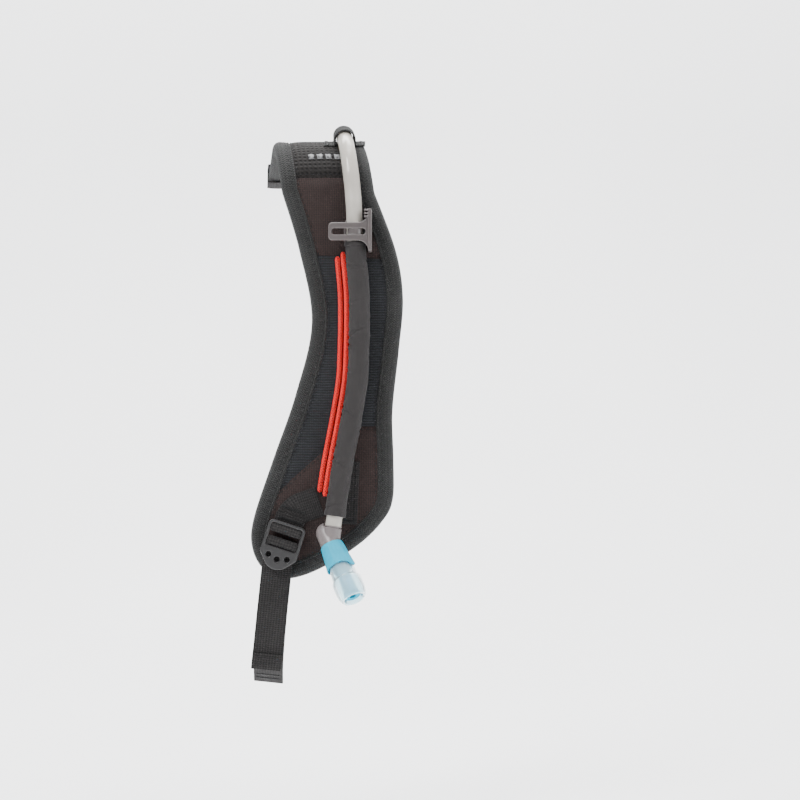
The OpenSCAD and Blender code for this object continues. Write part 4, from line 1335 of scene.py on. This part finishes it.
# Reflective bars on the top mesh
verts, faces, bar_uvs = [], [], []
for i in range(4):
    for a in range(4):
        for b in range(4):
            x, s = (-9 + 5.4 * i + 3.6 * a / 3) * MM, (19 + 3.6 * b / 3) * MM
            inner = 0 < a < 3 and 0 < b < 3
            bar_uvs.append((x, s))
            verts.append((x, s, float(pad_front(x, s)) + (0.35 if inner else 0.22) * MM))
    base = i * 16
    faces += [
        (base + p + 4 * q, base + p + 1 + 4 * q, base + p + 5 + 4 * q, base + p + 4 + 4 * q)
        for p in range(3) for q in range(3)
    ]
verts = np.array(verts)
bars = new_object("reflective_print_bars", place(*verts.T), faces, bar_uvs, REFLECT)
solid = bars.modifiers.new("thick", "SOLIDIFY")
solid.thickness, solid.offset = 0.25 * MM, 0
finish_piece(apply_modifiers(bars), "strap", "reflective", "reflective_bars")

# ---- Moulded parts, with rounded edges ----


def moulded(name, node, body, slot, material, voxel, rounds):
    """A moulded copy of a CAD node: the same solid with every edge rounded over."""
    source = frame["nodes"][node]
    obj = bpy.data.objects.new(name, source.data.copy())
    bpy.context.scene.collection.objects.link(obj)
    obj.data.materials.clear()
    obj.data.materials.append(material)
    remesh = obj.modifiers.new("remesh", "REMESH")
    remesh.mode, remesh.voxel_size = "VOXEL", voxel
    smooth = obj.modifiers.new("smooth", "SMOOTH")
    smooth.factor, smooth.iterations = 0.5, rounds
    shade_smooth(apply_modifiers(obj))
    return finish_piece(obj, body, slot, node)


moulded("tube_clip_moulded", "tube_clip", "strap", "clip_plastic", CLIP, 0.25 * MM, 4)
moulded("ladder_buckle_moulded", "ladder_buckle", "buckle", "buckle_plastic", BUCKLE, 0.22 * MM, 5)
moulded("elbow_moulded", "valve_elbow", "valve", "elbow_plastic", ELBOW, 0.25 * MM, 8)
moulded("stem_moulded", "valve_stem", "mouth", "cyan_plastic", CYAN, 0.25 * MM, 2)

clip_loop_mid = in_front([(16.6, 4.75, z) for z in np.linspace(-10.6, -41, 24)])
finish_piece(
    ribbon("clip_loop_strip", clip_loop_mid, (1, 0, 0), 8.8 * MM, 1.1 * MM, WEBBING), "strap", "webbing",
    "clip_loop"
)
for i, z in enumerate((-12.5, -39)):
    at = in_front([(16.6, 5.45, z)])[0]
    bartack(f"clip_loop_bartack_{i}", at, (1, 0, 0), (0, 0, 1), 7.4 * MM, 2 * MM, "strap", 11)

# ---- Bite valve ----
CROSSING = HEM + 16.6 * MM * HOSE_END
on_barrel = frame_matrix(CROSSING, -Vector(JOINTS["valve_twist"]["axis"]), (-1, 0, 0))

COLLAR = [
    (6.5, -2.3), (6.75, -2.05), (7.05, -2.2), (7.2, -2.9), (7.28, -5.0), (7.55, -8.0), (8.1, -13.0),
    (8.8, -17.3),
    (8.8, -17.9), (8.45, -18.1), (8.1, -17.9), (7.6, -15.5), (7.0, -12.9), (6.4, -12.1), (6.35, -8.6),
    (6.5, -8.4),
]
sides = 96
verts, faces, uvs = [], [], []
for r, z in COLLAR:
    for j in range(sides):
        a = 2 * math.pi * j / sides
        outer = r > 7.0 and z > -17.5
        grip = 0.16 * max(0.0, math.sin(a * 24)) * (1 if outer and -16 < z < -4 else 0)
        flap = max(0.0, math.cos(a - 2.5)) ** 10
        share = max(0.0, (-z - 12) / 6)
        verts.append(
            on_barrel @ (
                Vector(
                    ((r + grip + 0.6 * flap * share) * math.cos(a),
                     (r + grip + 0.6 * flap * share) * math.sin(a),
                     z - 3.4 * flap * share)
                ) * MM
            )
        )
        uvs.append((a * 7 * MM, z * MM))
for i in range(len(COLLAR)):
    for j in range(sides):
        k, m = (j + 1) % sides, (i + 1) % len(COLLAR)
        faces.append((i * sides + j, i * sides + k, m * sides + k, m * sides + j))
collar = shade_smooth(new_object("collar_flared", verts, faces, uvs, CYAN), 50)
finish_piece(collar, "mouth", "cyan_plastic", "twist_collar")

BITE = [
    (3.7, -12.6), (6.1, -12.6), (6.3, -12.9), (7.0, -17.5), (7.5, -20), (7.9, -23.5), (8.1, -26.2),
    (8.5, -26.9)
]
BITE += [
    (9.1, -27.6), (9.3, -30), (9.3, -33.5), (9.1, -36.5), (8.6, -38.6), (8.0, -40.1), (7.2, -40.9),
    (6.5, -41.0)
]
BITE += [(5.9, -40.5), (5.7, -38.5), (5.6, -34), (5.6, -29.5), (5.3, -25), (4.5, -22), (3.7, -20.6)]
bite = spin_object("bite_piece", [(r * MM, z * MM) for r, z in BITE], 64, on_barrel, SILICONE)
bite_round = bite.modifiers.new("finer", "SUBSURF")
bite_round.levels = bite_round.render_levels = 1
finish_piece(shade_smooth(apply_modifiers(bite)), "mouth", "silicone", "mouthpiece")

# ---- Small hidden parts, shown as made ----
for nodes, slot, material in (
    (("dock_magnets", "sleeve_magnet_3", "sleeve_magnet_5"), "magnet_metal", METAL),
    (("barb_oring", "barrel_orings", "quick_plug_orings"), "seal_rubber", RUBBER),
    (("valve_barb",), "elbow_plastic", ELBOW),
):
    for node in nodes:
        shown = frame["nodes"][node]
        shown.data.materials.clear()
        shown.data.materials.append(material)
        shade_smooth(shown, 40)

# ---- Stage, light and camera ----
floor_material = Nodes("stage_paper")
floor_material.link(
    floor_material.ramp(floor_material.noise(1.5, 2), (0.80, 0.80, 0.80), (0.84, 0.84, 0.84)),
    floor_material.shader.inputs["Base Color"]
)
floor_material.set(Roughness=0.9)
sweep = [(-3.0, -0.42), (1.1, -0.42)]
sweep += [
    (1.1 + 0.7 * math.sin(math.radians(a)), 0.28 - 0.7 * math.cos(math.radians(a)))
    for a in range(10, 91, 10)
] + [(1.8, 4)]
paper = np.array([[(x, y, z) for x in (-4, -1, 1, 4)] for y, z in sweep], float)
grid_object("stage_sweep", paper, paper[..., :2] * 0.1, floor_material.material)


def soft_light(name, position, target, size, power, colour=(1, 1, 1)):
    data = bpy.data.lights.new(name, "AREA")
    data.shape, data.size, data.size_y = "RECTANGLE", size[0], size[1]
    data.energy, data.color = power, colour
    lamp = bpy.data.objects.new(name, data)
    bpy.context.scene.collection.objects.link(lamp)
    lamp.location = position
    lamp.rotation_euler = (Vector(target) - Vector(position)).to_track_quat("-Z", "Y").to_euler()


AIM = (0.03, -0.1, -0.14)
soft_light("key", (-0.8, -1.1, 1.1), AIM, (0.7, 0.7), 42)
soft_light("fill", (1.3, -1.0, 0.3), AIM, (0.8, 1.2), 16)
soft_light("top", (0.2, -0.1, 1.4), AIM, (1.0, 0.7), 26)
soft_light("paper_light", (0, 0.7, 2.2), (0, 1.7, 0.0), (3.0, 0.8), 210)

world = bpy.data.worlds.new("studio")
world.use_nodes = True
world.node_tree.nodes["Background"].inputs["Color"].default_value = (0.9, 0.93, 1.0, 1)
world.node_tree.nodes["Background"].inputs["Strength"].default_value = 0.75
bpy.context.scene.world = world

camera_data = bpy.data.cameras.new("camera")
camera_data.sensor_width, camera_data.lens = 36, 87.1
camera = bpy.data.objects.new("camera", camera_data)
bpy.context.scene.collection.objects.link(camera)
camera.location = (0.0597, -1.30, -0.148)
camera.rotation_euler = (math.radians(90), 0, 0)
bpy.context.scene.camera = camera
